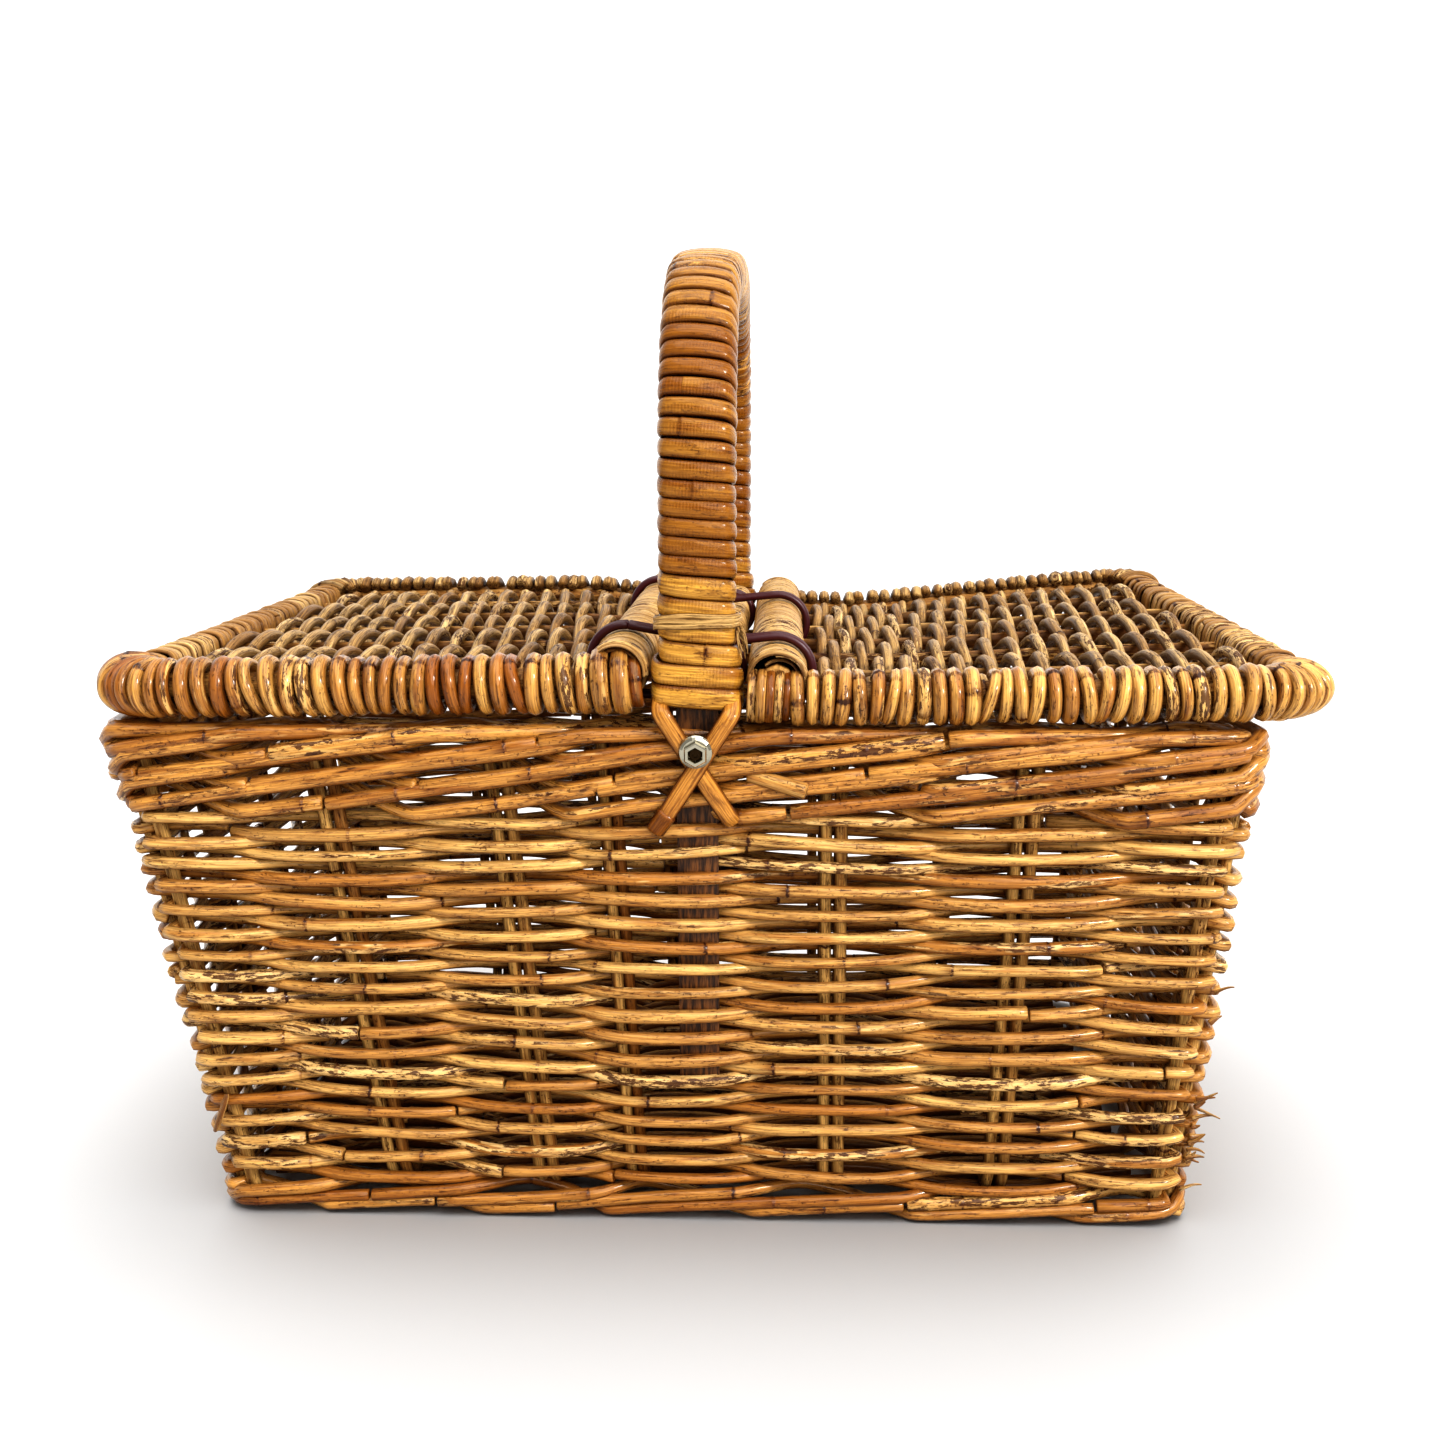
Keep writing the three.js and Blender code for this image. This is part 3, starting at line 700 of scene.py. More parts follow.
def foot_border():
    bundle = Bundle()
    wale(bundle, 2.9, 9.5, 2.7, 5.4, FOOT_TOP - 2.0, 0.3, (0.62, 0.2, 0.1))
    bundle.finish("foot_weave", "basket", BORDER_PAINT, "border_cane", "foot_border")


# ---- stakes and the base

STAKE_BEND = 11.0
# Two sticks make one stake: shift across the wall, radius and lightness of each.
STAKE_TWINS = ((-3.0, 2.6, 0.95), (3.0, 2.7, 0.5))
BESIDE_THE_HANDLE = ((-14.2, 2.5, 0.95), (-9.6, 2.3, 0.15))
# How far a stake's middle lies above the lowest point of its CAD node.
STAKE_RISE = 2.5
BASE_ROD = 2.4
BASE_SWING = 4.4


def wall_to_wall(low_wall, high_wall, floor, top):
    """A path down one wall, across the base and up the opposite wall: place, then level. Each wall
    is a function that gives its face's place at a level."""
    halves = []
    for way, wall in ((-1, low_wall), (1, high_wall)):
        angle = np.linspace(0, math.pi / 2, 6)
        foot, head = [way * wall(level) - WALL_THICKNESS / 2 for level in (floor + STAKE_BEND, top)]
        place = foot - STAKE_BEND * (1 - np.cos(angle))
        bend = np.stack([place, floor + STAKE_BEND * (1 - np.sin(angle))], axis=1)
        halves.append(joined(line([head, top], bend[0], 12)[:-1], bend) * [way, 1])
    down, up = halves
    return joined(down, line(down[-1], up[-1], 20)[1:-1], up[::-1]).T


def stakes():
    """Pairs of sticks that come down one wall, cross the base and go up the opposite wall, and the
    single sticks on both sides of each corner."""
    bundle = Bundle()
    for across, nodes, shares in ((0, CROSS_STAKES, CROSS_SHARES), (1, LONG_STAKES, LONG_SHARES)):
        for node, share in zip(nodes, shares):
            low, high = box_mm(node)
            place, level = wall_to_wall(*FACES[1 - across], low[2] + STAKE_RISE, high[2] - 1)
            start, end = (face(level) for face in FACES[across])
            for shift, radius, pale in BESIDE_THE_HANDLE if node == CROSS_STAKES[2] else STAKE_TWINS:
                spot = start + share * (end - start) + shift
                path = columns(spot, place, level) if across == 0 else columns(place, spot, level)
                side = (X_AXIS, Y_AXIS)[across]
                bundle.rod(path, radius, side, (pale * uniform(0.7, 1.3), 0.2))
    corner = 0
    level = np.linspace(8, RIM_TOP - 6, 24)
    for _, _, shares in SIDES:
        for stake in (corner + 0.5, corner + len(shares) - 0.5):
            points, outwards = round_the_wall(np.full(level.shape, stake), level)
            bundle.rod(points, 2.9, outwards, cane_tone(0.8, 0.1, 0.05))
        corner += len(shares)
    bundle.finish("stakes", "basket", STAKE_PAINT, "stake_cane", *CROSS_STAKES, *LONG_STAKES, *CORNER_STAKES)


def base_mat():
    """Long rods across the floor of the basket, over and under the cross stakes."""
    bundle = Bundle()
    low, high = box_mm("base_mat")
    middle = box_mm(CROSS_STAKES[0])[0][2] + STAKE_RISE
    left, right = left_face(middle), right_face(middle)
    marks = [left + share * (right - left) for share in CROSS_SHARES]
    marks = [2 * marks[0] - marks[1], *marks, 2 * marks[-1] - marks[-2]]
    count = int((high[1] - low[1]) / (2 * BASE_ROD + 0.5))
    for row in range(count):
        y = low[1] + (row + 0.5) * (high[1] - low[1]) / count
        x = np.arange(low[0] + 1, high[0] - 1, 5.0)
        beat = np.interp(x, marks, np.arange(len(marks)))
        lift = (-1) ** row * np.tanh(1.5 * np.cos(math.pi * beat)) * BASE_SWING
        path = columns(x, y + 0.5 * wander(x, 160, uniform(0, WHOLE_TURN)), middle + lift)
        bundle.rod(path, BASE_ROD, Y_AXIS, cane_tone(0.5, 0.2, 0.15))
    bundle.finish("base_weave", "basket", WALL_PAINT, "wall_cane", "base_mat")


# ---- the lids

LID_JOINTS = {joint["child"]: joint for joint in frame["joints"]}
FRAME_RADIUS = 6.0
LOOP_RADIUS = 9.1
LID_CORNER = 18.0
LID_SPLAY = 5.5
LID_DROP = 4.5
SPOKE_PLACES = (-100, -50, 0, 50, 100)
HINGE_RADIUS = 12.0
# The hinge rod takes this share of its lid's sag.
SHARE_OF_SAG_AT_HINGE = 0.125
POINTS_A_TURN = 28
# Bark round each hinge end: radius, half width, how far in it lies and how far round it goes, in radians.
BARK_STRIPS = ((11.1, 4.3, 5.5, 5.2), (10.2, 3.0, 0.5, 4.4), (8.4, 3.4, 3.0, 5.0))


class Lid:
    """Where one lid lies: its hinge axis, its tilt and how far it reaches from the hinge. Sag is
    how much the old lid has sunk, and the two rises say how far its back edge has warped upwards,
    beside the hinge and at the outer corner."""

    def __init__(self, name, side, tilt, loop_height, sag, rises, first_loop, end_loops):
        self.name, self.side, self.tilt = name, side, math.radians(tilt)
        self.loop_height, self.sag, self.rises = loop_height, sag, rises
        self.first_loop, self.end_loops = first_loop, end_loops
        self.hinge = np.array(LID_JOINTS[f"{name}_lid"]["pos_m"]) / MM
        low, high = box_mm(f"{name}_lid_frame")
        outer = abs((low if side < 0 else high)[0] - self.hinge[0]) + FRAME_RADIUS
        self.reach = outer / math.cos(self.tilt)
        self.half_depth = high[1] + FRAME_RADIUS
        self.pole = self.half_depth - FRAME_RADIUS * 2
        self.side_pole = self.reach - FRAME_RADIUS * 2
        self.bend = self.side_pole - LID_CORNER

    def place(self, points):
        """Turns points given as outward, along Y and up from the hinge into the basket's frame."""
        points = np.array(points, float)
        outward = smooth(points[:, 0] / self.reach)
        back = np.clip(0.5 + points[:, 1] / 2 / self.half_depth, 0, 1)
        rise = self.rises[0] + (self.rises[1] - self.rises[0]) * outward
        warp = back * rise * smooth((points[:, 0] - HINGE_RADIUS) / 40) - self.sag
        splay = LID_SPLAY * outward * (1 - back)
        x, z = self.side * (points[:, 0] + splay), points[:, 2] + warp
        turned_x = x * math.cos(self.tilt) + z * math.sin(self.tilt)
        turned_z = z * math.cos(self.tilt) - x * math.sin(self.tilt)
        return columns(turned_x, points[:, 1], turned_z) + self.hinge

    def on_axis(self, points):
        """Like place, nearly without the sag, for what turns round the hinge's axis in its bands."""
        return self.place(points) + [0, 0, self.sag * (1 - SHARE_OF_SAG_AT_HINGE)]

    def node(self, part):
        return f"{self.name}_lid_{part}"

    def finish(self, bundle, name, paint, slot, *parts):
        nodes = [self.node(part) for part in parts]
        bundle.finish(self.node(name), f"{self.name}_lid", paint, slot, *nodes)


# Canes over the hinge rod's ends: place outward of the rod, half width, flatness and lightness.
LEFT_END_LOOPS = ((5.9, 3.7, 1.0, 0.75), (-1.7, 3.7, 1.0, 0.75), (-7.2, 2.7, 0.5, 0.1))
RIGHT_END_LOOPS = ((-9.6, 1.9, 0.5, 0.2), (-6.1, 1.9, 0.6, 0.6), (-2.7, 1.7, 0.6, 0.4), (0.6, 1.8, 0.6, 0.5),
                   (3.6, 1.5, 0.6, 0.2))
LIDS = (
    Lid("left", -1, -1.0, 9.1, 0.0, (3.0, 3.5), 12.6, LEFT_END_LOOPS),
    Lid("right", 1, -0.8, 8.3, 2.4, (-2.5, 11.0), 7.6, RIGHT_END_LOOPS),
)


def lid_weavers(lid, bundle):
    """Rods from the front pole to the back pole, over and under the spokes."""
    first, last = 17.0, lid.reach - 2 * LOOP_RADIUS - 6
    count = int((last - first) / 5.2)
    end = lid.pole - 7
    y = np.linspace(-end, end, 110)
    beat = np.cos(math.pi * y / 50)
    arch = np.sign(beat) * np.abs(beat) ** 0.8
    fade = smooth((end + 6 - np.abs(y)) / 16)
    for i in range(count):
        outward = first + (i + 0.5) * (last - first) / count
        lift = (-1) ** i * arch * 5.9 * uniform(0.92, 1.12) * fade - 3.0 * (1 - fade)
        phase = uniform(0, WHOLE_TURN)
        sway = outward + 0.9 * wander(y, 140, phase) + 0.5 * wander(y, 57, phase + 1)
        path = lid.place(columns(sway, y, lift - LID_DROP))
        bundle.rod(path, 2.55 * uniform(0.88, 1.1), X_AXIS, cane_tone(0.55, 0.22, 0.13), turn=0.3)


def loop_frames(lid, end):
    """Centres and outward directions along a pole and round its corner, seen from above."""
    straight = np.arange(lid.first_loop, lid.bend, 1.0)
    angle = np.append(np.full(len(straight), math.pi / 2), np.linspace(math.pi / 2, 0, 24))
    outwards = np.stack([np.cos(angle), np.sin(angle)], axis=1)
    centres = LID_CORNER * outwards + [lid.bend, lid.pole - LID_CORNER]
    centres[: len(straight), 0] = straight
    return centres * [1, end], outwards * [1, end]


def lid_loops(lid, end, lightness, bundle):
    """Short rods bent round one pole, which fan out at the lid's corner."""
    centres, outwards = loop_frames(lid, end)
    along = lengths_along(centres + outwards * LOOP_RADIUS)
    place = 0.0
    while place < along[-1] - 1:
        thickness = 2.9 * uniform(0.86, 1.12)
        centre = np.array([np.interp(place, along, centres[:, i]) for i in (0, 1)])
        outward = unit(np.array([np.interp(place, along, outwards[:, i]) for i in (0, 1)]))
        angle = np.radians(np.linspace(uniform(125, 140), -uniform(120, 135), 26))
        slant = RANDOM.normal(0.6, 0.8) * end * np.sin(angle)
        radius = LOOP_RADIUS + uniform(-0.3, 0.7) + 2.6 * smooth(abs(outward[0]))
        x = centre[0] + outward[0] * radius * np.cos(angle) + outward[1] * slant
        y = centre[1] + outward[1] * radius * np.cos(angle) - outward[0] * slant
        path = lid.place(columns(x, y, lid.loop_height * np.sin(angle) - LID_DROP))
        square = lid.place([[outward[1], -outward[0], 0]]) - lid.place([[0, 0, 0]])
        tone = cane_tone(lightness, 0.22, 0.09)
        bundle.rod(path, thickness, square[0], tone, spacing=(14, 260), step=4, turn=0.26)
        place += 2 * thickness + uniform(-0.25, 0.75)


def lid_spokes(lid):
    bundle = Bundle()
    for y in SPOKE_PLACES:
        path = line([HINGE_RADIUS - 1, y, -LID_DROP], [lid.reach - 16, y, -LID_DROP], 8)
        path[:, 1] += wander(path[:, 0], 170, y) * 0.8
        bundle.rod(lid.place(path), 3.1, Y_AXIS, cane_tone(0.45, 0.15, 0.1))
    lid.finish(bundle, "spokes", STAKE_PAINT, "stake_cane", *[f"spoke_{i}" for i in range(1, 6)])


def lid_frame(lid):
    """The pole that runs out from the hinge, round the two outer corners and back."""
    bundle = Bundle()
    angle = np.linspace(math.pi / 2, 0, 8)
    y = lid.pole - LID_CORNER + LID_CORNER * np.sin(angle)
    arc = columns(lid.bend + LID_CORNER * np.cos(angle), y, -LID_DROP)
    back = joined(line([HINGE_RADIUS + 1, lid.pole, -LID_DROP], arc[0], 10)[:-1], arc)
    path = lid.place(joined(back * [1, -1, 1], back[::-1]))
    bundle.rod(path, FRAME_RADIUS - 0.2, Z_AXIS, (0.4, 0.3))
    lid.finish(bundle, "pole", STAKE_PAINT, "stake_cane", "frame")


def spiral(centre_line, up, half_width, half_height, corner, pitch, slack):
    """A strip's path wound round a bar whose section is a rounded rectangle, with its width along
    X. Up is the section's other direction. Up, half width and pitch may change along the bar.
    Returns the path, its outward directions and how far along the bar each point lies."""
    along = lengths_along(centre_line)
    pitch = np.broadcast_to(pitch, along.shape)
    turned = np.concatenate([[0], np.cumsum(2 * np.diff(along) / (pitch[1:] + pitch[:-1]))])
    turn = np.linspace(0, turned[-1], int(turned[-1] * POINTS_A_TURN))
    place = np.interp(turn, turned, along)
    cosine, sine = np.cos(turn * 2 * math.pi), np.sin(turn * 2 * math.pi)
    half_width = np.interp(place, along, np.broadcast_to(half_width, along.shape))
    x = np.clip(1.6 * cosine, -1, 1) * (half_width - corner) + corner * cosine
    y = np.clip(1.6 * sine, -1, 1) * (half_height - corner) + corner * sine
    loose = slack * wander(turn, 2.7, 1.0)
    place = place + 1.1 * loose
    rise = unit(sampled(np.broadcast_to(up, centre_line.shape), place, along))
    outward = unit(X_AXIS * (x / half_width**2)[:, None] + rise * (y / half_height**2)[:, None])
    path = sampled(centre_line, place, along) + X_AXIS * (x + loose * cosine)[:, None]
    return path + rise * (y + loose * sine)[:, None], outward, place


def wound_bar(bundle, centre_line, half_width, half_height, corner, pitch, width, thickness, tone, run,
              slack):
    """Winds split cane round a straight bar. The run is how many turns each length of cane makes,
    and slack is how loose the turns are."""
    path, outward, _ = spiral(centre_line, Z_AXIS, half_width, half_height, corner, pitch, slack)
    start = 0
    while start < len(path) - 20:
        end = min(len(path), start + int(POINTS_A_TURN * uniform(*run)))
        if len(path) - end < POINTS_A_TURN:
            end = len(path)
        girth = width / 2 * uniform(0.93, 1.07)
        bundle.rod(path[start:end], girth, outward[start:end], cane_tone(*tone), split_section(8),
                   2 * thickness / width, NODE_SPACING, 6.0, 0.3)
        start = end - 1


def lid_side_wrap(lid):
    """Flat cane wound round the lid's outer side between its corners."""
    bundle = Bundle()
    half = lid.pole - LID_CORNER + 1
    centre = lid.place(line([lid.side_pole, -half, -LID_DROP], [lid.side_pole, half, -LID_DROP], 5))
    wound_bar(bundle, centre, 7.0, 8.0, 5.0, 7.0, 7.6, 1.5, (0.25, 0.25, 0.3), (2, 6), 0.8)
    lid.finish(bundle, "side_winding", FLAT_PAINT, "flat_cane", "side_wrap")


def lid_hinge(lid):
    """The hinge rod, its winding of flat cane and the strips of bark round the winding's ends."""
    bundle = Bundle()
    half = box_mm(lid.node("hinge_rod"))[1][1] - 8
    bundle.rod(lid.on_axis(line([0, -half, 0], [0, half, 0], 12)), 6.4, X_AXIS, (0.5, 0.2))
    lid.finish(bundle, "hinge_core", STAKE_PAINT, "stake_cane", "hinge_rod")
    bundle = Bundle()
    centre = lid.on_axis(line([0, 1 - half, 0], [0, half - 1, 0], 5))
    radius = HINGE_RADIUS - 1.6
    wound_bar(bundle, centre, radius, radius, radius - 0.5, 6.0, 7.0, 1.3, (0.75, 0.15, 0.08), (3, 8), 0.2)
    curled_bark(lid, bundle)
    lid.finish(bundle, "hinge_winding", FLAT_PAINT, "flat_cane", "hinge_wrap")


def hinge_end_loops(lid, bundle):
    """Split canes bent over each end of the hinge rod."""
    for end in (-1, 1):
        for place, half_width, flat, lightness in lid.end_loops:
            angle = np.radians(np.linspace(uniform(100, 125), -uniform(105, 125), 24))
            set_back = 1.8 * (lightness < 0.3)
            y = end * (lid.pole + 1.2 - set_back + 9.6 * np.cos(angle))
            path = columns(place + 0.6 * np.sin(angle), y, 9.4 * np.sin(angle) - LID_DROP + 0.8)
            outward = columns(0, end * np.cos(angle), np.sin(angle))
            tone = cane_tone(lightness, 0.1, 0.4)
            bundle.rod(lid.place(path), half_width, outward, tone, split_section(10), flat, (30, 200),
                       4, 0.26)


def curled_bark(lid, bundle):
    """Strips of bark round each end of the hinge winding, one outside and two curling inside it.
    The outer strip stays low on the right, where it would meet the handle as the lid opens."""
    for end in (-1, 1):
        for radius, width, inset, reach in BARK_STRIPS:
            sweep = np.linspace(0.2, reach, 46)
            is_outer = radius > 11
            lift = 0.3 if is_outer and lid.side > 0 else 1.6
            around = radius + lift * smooth((sweep - 3.4) / 2) * (1 if is_outer else -1)
            heading = math.radians(200) + lid.side * sweep
            y = end * (lid.pole + 5.5 - inset - 3.5 * sweep / reach)
            outward = columns(np.cos(heading), 0, np.sin(heading))
            path = columns(around * outward[:, 0], y, around * outward[:, 2])
            placed = lid.on_axis(path)
            tone = cane_tone(0.5 if radius > 10 else 0.1, 0.15, 0.5)
            bundle.rod(placed, width, lid.on_axis(path + outward) - placed, tone, split_section(8), 0.28,
                       (90, 200), 4, 0.3)


def lid_panel(lid):
    """The woven panel, whose front loops and hinge end loops take a paint of their own. The back loops take
    the greyer lid paint as painted shade, and the right lid's front loops are painted lighter as painted
    light.
    """
    weavers, loops = Bundle(), Bundle()
    lid_weavers(lid, weavers)
    hinge_end_loops(lid, loops)
    # Painted light: the right lid's front loops are much lighter than the left's, as if lit from the right.
    lid_loops(lid, -1, 0.46 if lid.side < 0 else 0.84, loops)
    # Painted shade: the back loops take the weavers' greyer, darker paint instead of the loop paint.
    lid_loops(lid, 1, 0.45, weavers)
    lid.finish(weavers, "weavers", LID_PAINT, "lid_cane", "weave")
    lid.finish(loops, "loops", LOOP_PAINT, "lid_cane", "weave")


# ---- centre bar and hinge bands

STRAND = 1.75


def centre_bar():
    bundle = Bundle()
    low, high = box_mm("centre_bar_wrap")
    x, _, z = (low + high) / 2
    half_width, half_height = (high[0] - low[0]) / 2 - 0.7, (high[2] - low[2]) / 2 - 0.7
    wound_bar(bundle, line([x, low[1], z], [x, high[1], z], 5), half_width, half_height, half_height - 1,
              6.2, 7.2, 1.4, (0.8, 0.15, 0.08), (3, 8), 0.3)
    bundle.finish("centre_bar_winding", "basket", FLAT_PAINT, "flat_cane", "centre_bar_wrap")


def band_outline(near, near_radius, far, far_radius):
    """A closed loop round two circles, given as X and Z."""
    heading = unit(far - near)
    square = np.array([-heading[1], heading[0]])
    points = []
    for centre, radius, turns in ((near, near_radius, (90, 270)), (far, far_radius, (-90, 90))):
        for angle in np.radians(np.linspace(*turns, 14)):
            points.append(centre + radius * (math.cos(angle) * heading + math.sin(angle) * square))
    return joined(points, points[:1]).T


def hinge_bands():
    """Dark strands that tie each hinge rod to the centre bar, two to a band."""
    bar_low, bar_high = box_mm("centre_bar_wrap")
    bar_radius = (bar_high[2] - bar_low[2]) / 2
    bar_level = (bar_low[2] + bar_high[2]) / 2
    for lid in LIDS:
        far = np.array([-lid.side * (bar_high[0] - bar_radius), bar_level])
        x, z = band_outline(lid.hinge[[0, 2]], HINGE_RADIUS + STRAND + 0.3, far, bar_radius + STRAND)
        for i in (1, 2):
            bundle = Bundle()
            low, high = box_mm(f"{lid.name}_hinge_band_{i}")
            for shift in (-STRAND - 0.1, STRAND + 0.1):
                path = columns(x, (low[1] + high[1]) / 2 + shift, z)
                bundle.rod(path, STRAND, Y_AXIS, (0.5, 0.0), spacing=FEW_NODES, step=4, turn=0.2)
            node = f"{lid.name}_hinge_band_{i}"
            bundle.finish(f"{node}_strands", "basket", BAND_PAINT, "dark_band", node)


# ---- the handle

HAUNCH = 75.0
CROWN_HALF_ANGLE = math.pi / 15
HANDLE_THICKNESS = 24.0
ENDS = (("front", -1), ("back", 1))
TIE_TONE = (0.95, 0.1)
# Turned profiles: distance along the bolt and radius.
NUT_FLANGE = [(0, 6.7), (1.0, 6.7), (1.7, 6.2), (2.4, 5.2), (2.5, 3.4)]
NUT_HEXAGON = [(1.2, 4.9), (4.9, 4.9), (5.5, 4.4), (5.5, 3.2), (5.0, 2.8), (3.4, 2.7)]
BOLT = [(-25.5, 3.5), (-24, 5.6), (-22.4, 6.0), (-22.3, 2.6), (3.9, 2.5), (4.2, 2.1), (4.2, 1.2), (3.8, 1.1)]


def arch_line():
    """Centre line of the handle, from the foot of its front leg to the foot of its back leg."""
    low, high = box_mm("handle_wrap")
    half_span, top = high[1] - HANDLE_THICKNESS / 2, high[2] - HANDLE_THICKNESS / 2
    haunch_y = half_span - HAUNCH
    crown_radius = HAUNCH + haunch_y / math.sin(CROWN_HALF_ANGLE)
    crown_centre = top - crown_radius
    springs = crown_centre + haunch_y / math.tan(CROWN_HALF_ANGLE)
    angle = np.linspace(0, math.pi / 2 - CROWN_HALF_ANGLE, 30)
    haunch = columns(0, haunch_y + HAUNCH * np.cos(angle), springs + HAUNCH * np.sin(angle))
    angle = np.linspace(CROWN_HALF_ANGLE, 0, 20)
    crown = columns(0, crown_radius * np.sin(angle), crown_centre + crown_radius * np.cos(angle))
    leg = line([0, half_span, low[2] + 0.5], haunch[0], 4)
    back = joined(leg[:-1], haunch, crown[1:])
    return joined(back * [1, -1, 1], back[-2::-1])


def handle_runs(total):
    """Start, end and strip width of each length of cane wound on the handle."""
    runs = []
    place = 0.0
    while place < total:
        near_foot = min(place, total - place) < 20
        width = 8.6 if near_foot else RANDOM.choice([5.4, 7.2, 7.8, 8.4, 9.0])
        turns = uniform(0.9, 2.0) if width < 6 else uniform(1.3, 4.5)
        runs.append((place, min(total, place + turns * width), width))
        place = runs[-1][1]
    return runs


def handle():
    """Split cane wound round the arch. The two lowest turns of each leg are wider."""
    bundle = Bundle()
    centre = arch_line()
    up = np.cross(X_AXIS, tangents_of(centre))
    along = lengths_along(centre)
    from_foot = np.minimum(along, along[-1] - along)
    half_width = 13.1 + 2.9 * (1 - smooth((from_foot - 15) / 5)) + 1.4 * smooth((from_foot - 150) / 120)
    runs = handle_runs(along[-1])
    widths = np.array([width for start, end, width in runs])
    ends = np.array([end for start, end, width in runs])
    pitch = widths[np.searchsorted(ends[:-1], along)] * 0.97
    path, outward, place = spiral(centre, up, half_width, 9.8, 7.0, pitch, 0.15)
    for start, end, width in runs:
        here = np.flatnonzero((place >= start - 0.3) & (place <= end + 0.3))
        if len(here) < 6:
            continue
        height = np.mean(path[here, 2] - path[0, 2]) / np.ptp(path[:, 2])
        tone = cane_tone(0.85 - 0.8 * height + 0.6 * smooth((height - 0.84) / 0.08), 0.14, 0.05)
        bundle.rod(path[here], width * 0.51, outward[here], tone, split_section(12), 3.9 / width,
                   (60, 170), 5.0, 0.25, 0.98)
    bundle.finish("handle_winding", "basket", HANDLE_PAINT, "handle_cane", "handle_wrap")


def frayed_tie():
    """A thin old tie round the front leg, with a tuft of loose fibres on its right."""
    bundle = Bundle()
    low = box_mm("handle_wrap")[0]
    level, y = low[2] + 29, low[1] + HANDLE_THICKNESS / 2
    angle = np.linspace(-0.4, 2 * math.pi - 0.5, 40)
    cosine, sine = np.cos(angle), np.sin(angle)
    x = np.clip(1.5 * cosine, -1, 1) * 8.6 + 7.8 * cosine
    depth = np.clip(1.5 * sine, -1, 1) * 5.4 + 7.8 * sine
    for turn in range(3):
        height = level + 1.7 * turn + 1.6 * np.sin(angle + 0.4) + 0.4 * wander(angle, 2.0, turn)
        bundle.rod(columns(x, y - depth, height), 1.1, columns(cosine, -sine, 0), TIE_TONE, split_section(6),
                   0.4, FEW_NODES, 3, 0.3)
    for _ in range(14):
        start = np.array([15.5, y - 2 + uniform(-3, 3), level + uniform(-2, 4)])
        reach = np.array([uniform(0.5, 4), uniform(-5, 3), uniform(-13, 4)])
        curl = np.array([2.0, -1.0, 1.0]) * uniform(-2, 3)
        loose_fibre(bundle, start, reach, curl, [0.7, 0.25], TIE_TONE, 5)
    bundle.finish("handle_tie", "basket", FLAT_PAINT, "flat_cane", "handle_wrap")


def lashings():
    """Flat canes that come from under the handle's winding and cross over the rim."""
    share = np.linspace(-0.13, 1.0, 32)
    tuck = 8.0 * smooth((0.05 - share) / 0.16) + 3.5 * smooth((share - 0.93) / 0.07)
    bulge = 0.6 * np.sin(math.pi * np.clip(share, 0, 1)) - tuck
    for end_name, end in ENDS:
        for layer, part in enumerate(("lashing_under", "lashing_over")):
            bundle = Bundle()
            node = f"{end_name}_{part}"
            low, high = box_mm(node)
            level = high[2] - 1.0 + (low[2] - high[2] + 3) * share
            x = end * (1 if layer == 0 else -1) * (13.8 - 28.0 * np.maximum(share, 0))
            y = end * (depth_face(level) + RIM_PROUD + 0.9 + 1.6 * layer + bulge)
            path = columns(x, y, level)
            outward = np.array([0, end, 0.1])
            tone = (0.85 - 0.15 * layer, 0.0)
            bundle.rod(path, 3.6, outward, tone, split_section(10), 0.45, FEW_NODES, 3, 0.3)
            if layer == 1:
                folded_tail(bundle, path[-4:] + [0, 0.9 * end, 0], outward)
            bundle.finish(f"{node}_strip", "basket", LASHING_PAINT, "handle_cane", node)


def folded_tail(bundle, path, outward):
    """The dark end of a lashing, creased where it tucks in."""
    tail = line(path[0], path[-1] + (path[-1] - path[0]) * 0.75, 2.0)
    bundle.rod(tail, 3.9, outward, (0.05, 0.2), split_section(8), 0.5, FEW_NODES, 2, 0.3)


def turned(bundle, origin, axis, profile, sides):
    """A solid of revolution, or one with few flat sides. The profile lists distance along the
    axis and radius."""
    distance, radius = np.array(profile, float).T
    centre = origin + distance[:, None] * axis
    facing, across = (np.broadcast_to(way, centre.shape) for way in (X_AXIS, np.cross(axis, X_AXIS)))
    still = np.zeros(len(distance))
    bundle.add_rings(centre, facing, across, radius, round_section(sides), 1.0, still, still, (0, 0))


def fasteners():
    """At each foot of the handle, a bolt from inside and a flanged nut on the rim's outer face."""
    lean = math.atan2(rim_high[1] - foot_high[1], RIM_TOP - FOOT_TOP)
    for end_name, end in ENDS:
        axis = np.array([0, end * math.cos(lean), -math.sin(lean)])
        level = sum(box_mm(f"{end_name}_flange_nut"))[2] / 2
        seat = np.array([0, end * (depth_face(level) + RIM_PROUD + 3.0), level])
        nut, bolt = Bundle(), Bundle()
        turned(nut, seat, axis, NUT_FLANGE, 28)
        turned(nut, seat, axis, NUT_HEXAGON, 6)
        nut.finish(f"{end_name}_nut", "basket", STEEL_PAINT, "zinc_steel", f"{end_name}_flange_nut",
                   is_smooth=False)
        turned(bolt, seat, axis, BOLT, 20)
        bolt.finish(f"{end_name}_bolt_body", "basket", DARK_STEEL_PAINT, "zinc_steel", f"{end_name}_bolt",
                    is_smooth=False)


def wooden_parts():
    """The wooden core and the bar keep their CAD shapes and take better paint."""
    for node in ("handle_core", "centre_bar"):
        frame["nodes"][node].material_slots[0].material = WOOD_PAINT


# ---- camera, light and floor


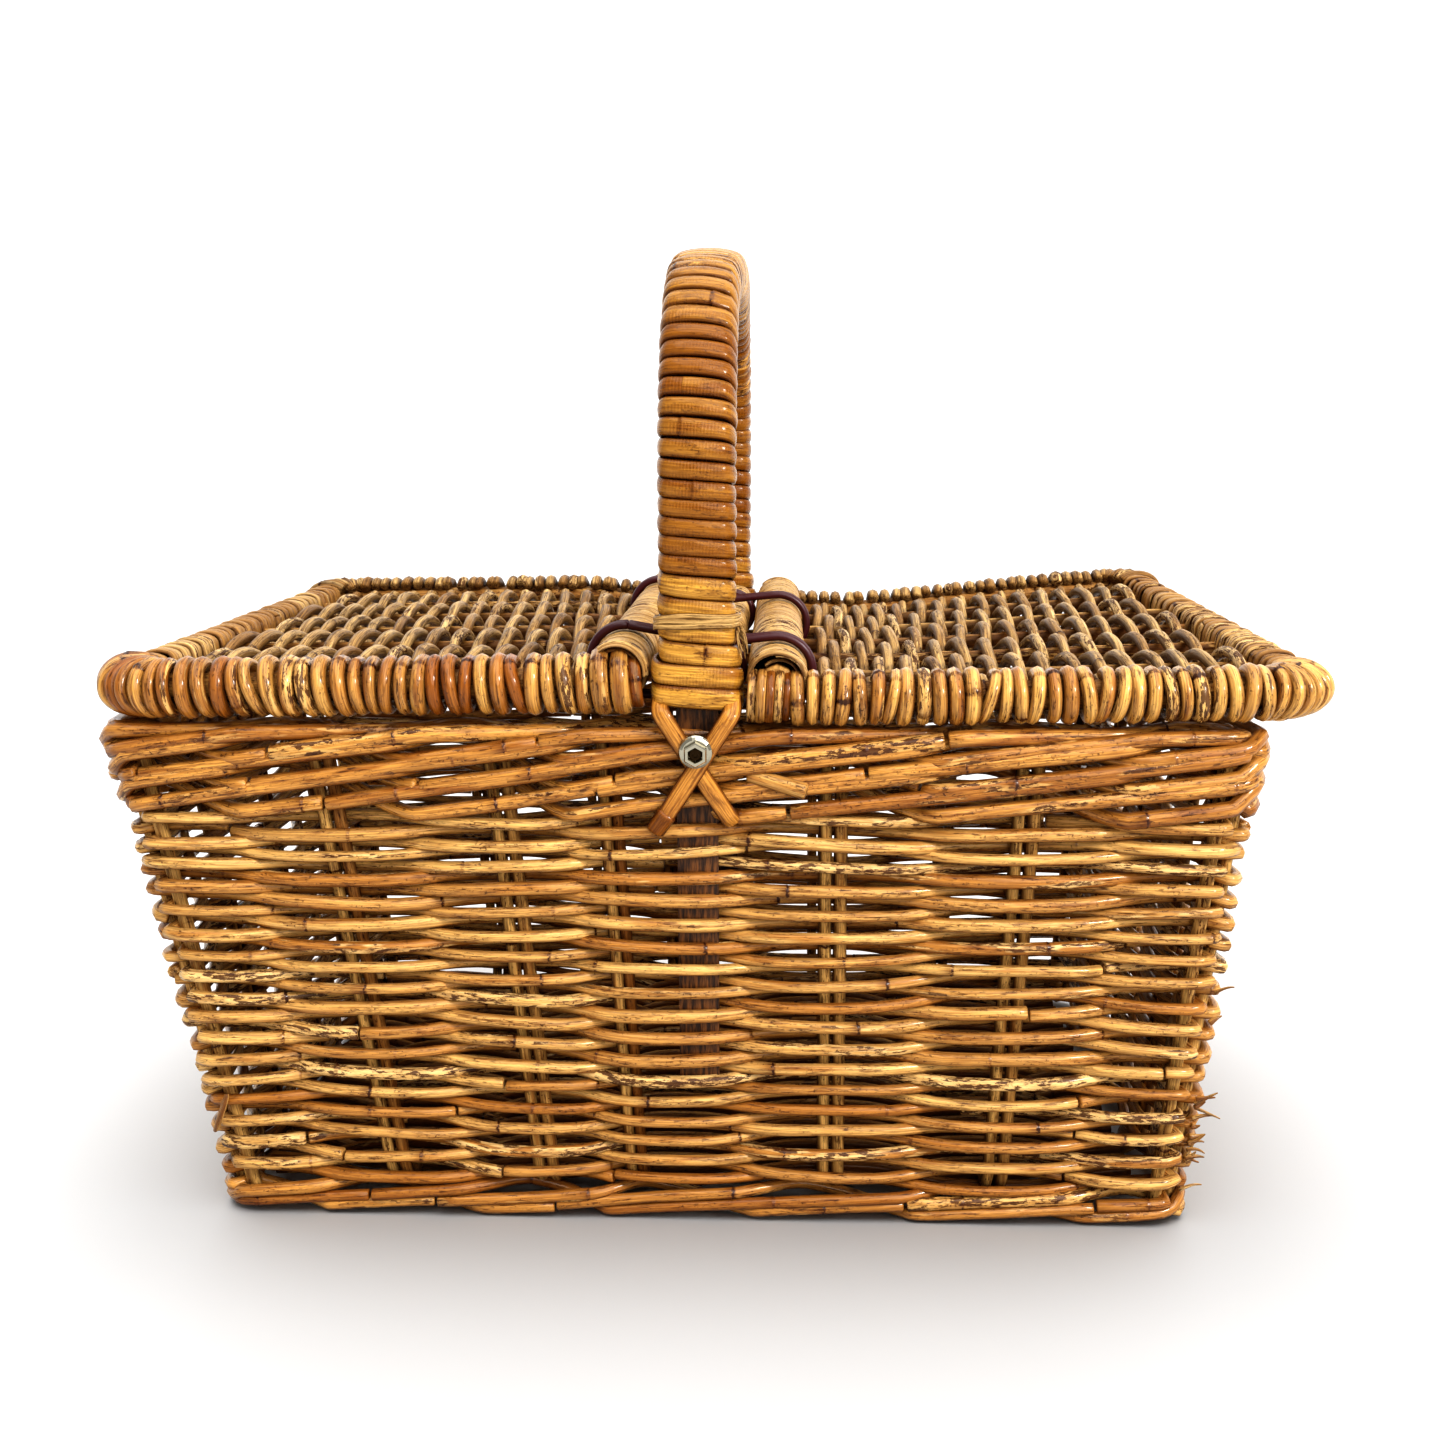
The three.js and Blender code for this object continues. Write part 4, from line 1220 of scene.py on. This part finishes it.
def add_light(name, kind, place, aim, size, strength, receivers=None):
    """Adds a lamp that lights everything, or only what its collection of receivers says."""
    data = bpy.data.lights.new(name, kind)
    data.energy = strength
    if kind == "SUN":
        data.angle = size
    else:
        data.shape, data.size = "DISK", size
    lamp = new_object(name, data)
    lamp.location = place
    lamp.rotation_euler = (Vector(aim) - Vector(place)).to_track_quat("-Z", "Y").to_euler()
    lamp.light_linking.receiver_collection = receivers


def receiving(name, surface, state):
    """A collection that limits lamps to one surface, or keeps them off it."""
    receivers = bpy.data.collections.new(name)
    receivers.objects.link(surface)
    receivers.collection_objects[0].light_linking.link_state = state
    return receivers


def pale_floor():
    data = bpy.data.meshes.new("floor")
    half = 4.0
    corners = [(-half, -half, 0), (half, -half, 0), (half, half, 0), (-half, half, 0)]
    data.from_pydata(corners, [], [(0, 1, 2, 3)])
    floor = new_object("floor", data)
    data.materials.append(plain_paint("pale_floor", (0.59, 0.59, 0.59, 1), 0.9))
    return floor


def white_surroundings(world):
    """A sky brighter behind the basket than before it, which looks plain white to the camera."""
    sky = Nodes(world)
    direction = sky.split(sky.nodes.new("ShaderNodeTexCoord").outputs["Generated"])
    brightness = sky.ramp(direction[1], -0.15, 0.3, 0.4, 1.0, "LINEAR")
    seen = sky.nodes.new("ShaderNodeLightPath").outputs["Is Camera Ray"]
    background = sky.nodes["Background"].inputs
    sky.put(background["Color"], (1, 1, 1, 1))
    sky.put(background["Strength"], sky.math("MAXIMUM", brightness, seen))


def studio():
    """Soft light. The lamps before the basket don't light the floor; one from behind lights
    only the floor, so the soft shadow falls forward."""
    scene = bpy.context.scene
    scene.view_settings.view_transform = "Standard"
    scene.view_settings.look = "High Contrast"
    scene.world = bpy.data.worlds.new("studio")
    white_surroundings(scene.world)
    floor = pale_floor()
    not_floor = receiving("not_the_floor", floor, "EXCLUDE")
    only_floor = receiving("only_the_floor", floor, "INCLUDE")
    add_light("overhead", "SUN", (0.1, -0.5, 2.0), (0, 0, 0), math.radians(60), 1.5)
    add_light("key", "SUN", (0.7, -1.5, 1.0), (0, 0, 0.1), math.radians(45), 1.05, not_floor)
    add_light("glint", "AREA", (1.2, -1.1, 1.1), (0, 0, 0.25), 0.35, 15, not_floor)
    add_light("behind", "SUN", (0.0, 0.45, 1.8), (0, 0, 0), math.radians(56), 1.2, only_floor)


def photo_camera():
    data = bpy.data.cameras.new("camera")
    data.lens, data.sensor_width = 40.94, 36.0
    camera = new_object("camera", data)
    camera.location = (0.0318, -0.7696, 0.3263)
    camera.rotation_euler = (math.radians(79.64), 0, math.radians(2.04))
    bpy.context.scene.camera = camera


wall_weave()
rim_border()
foot_border()
stakes()
base_mat()
for lid in LIDS:
    lid_panel(lid)
    lid_spokes(lid)
    lid_frame(lid)
    lid_side_wrap(lid)
    lid_hinge(lid)
centre_bar()
hinge_bands()
handle()
frayed_tie()
lashings()
fasteners()
wooden_parts()
studio()
photo_camera()
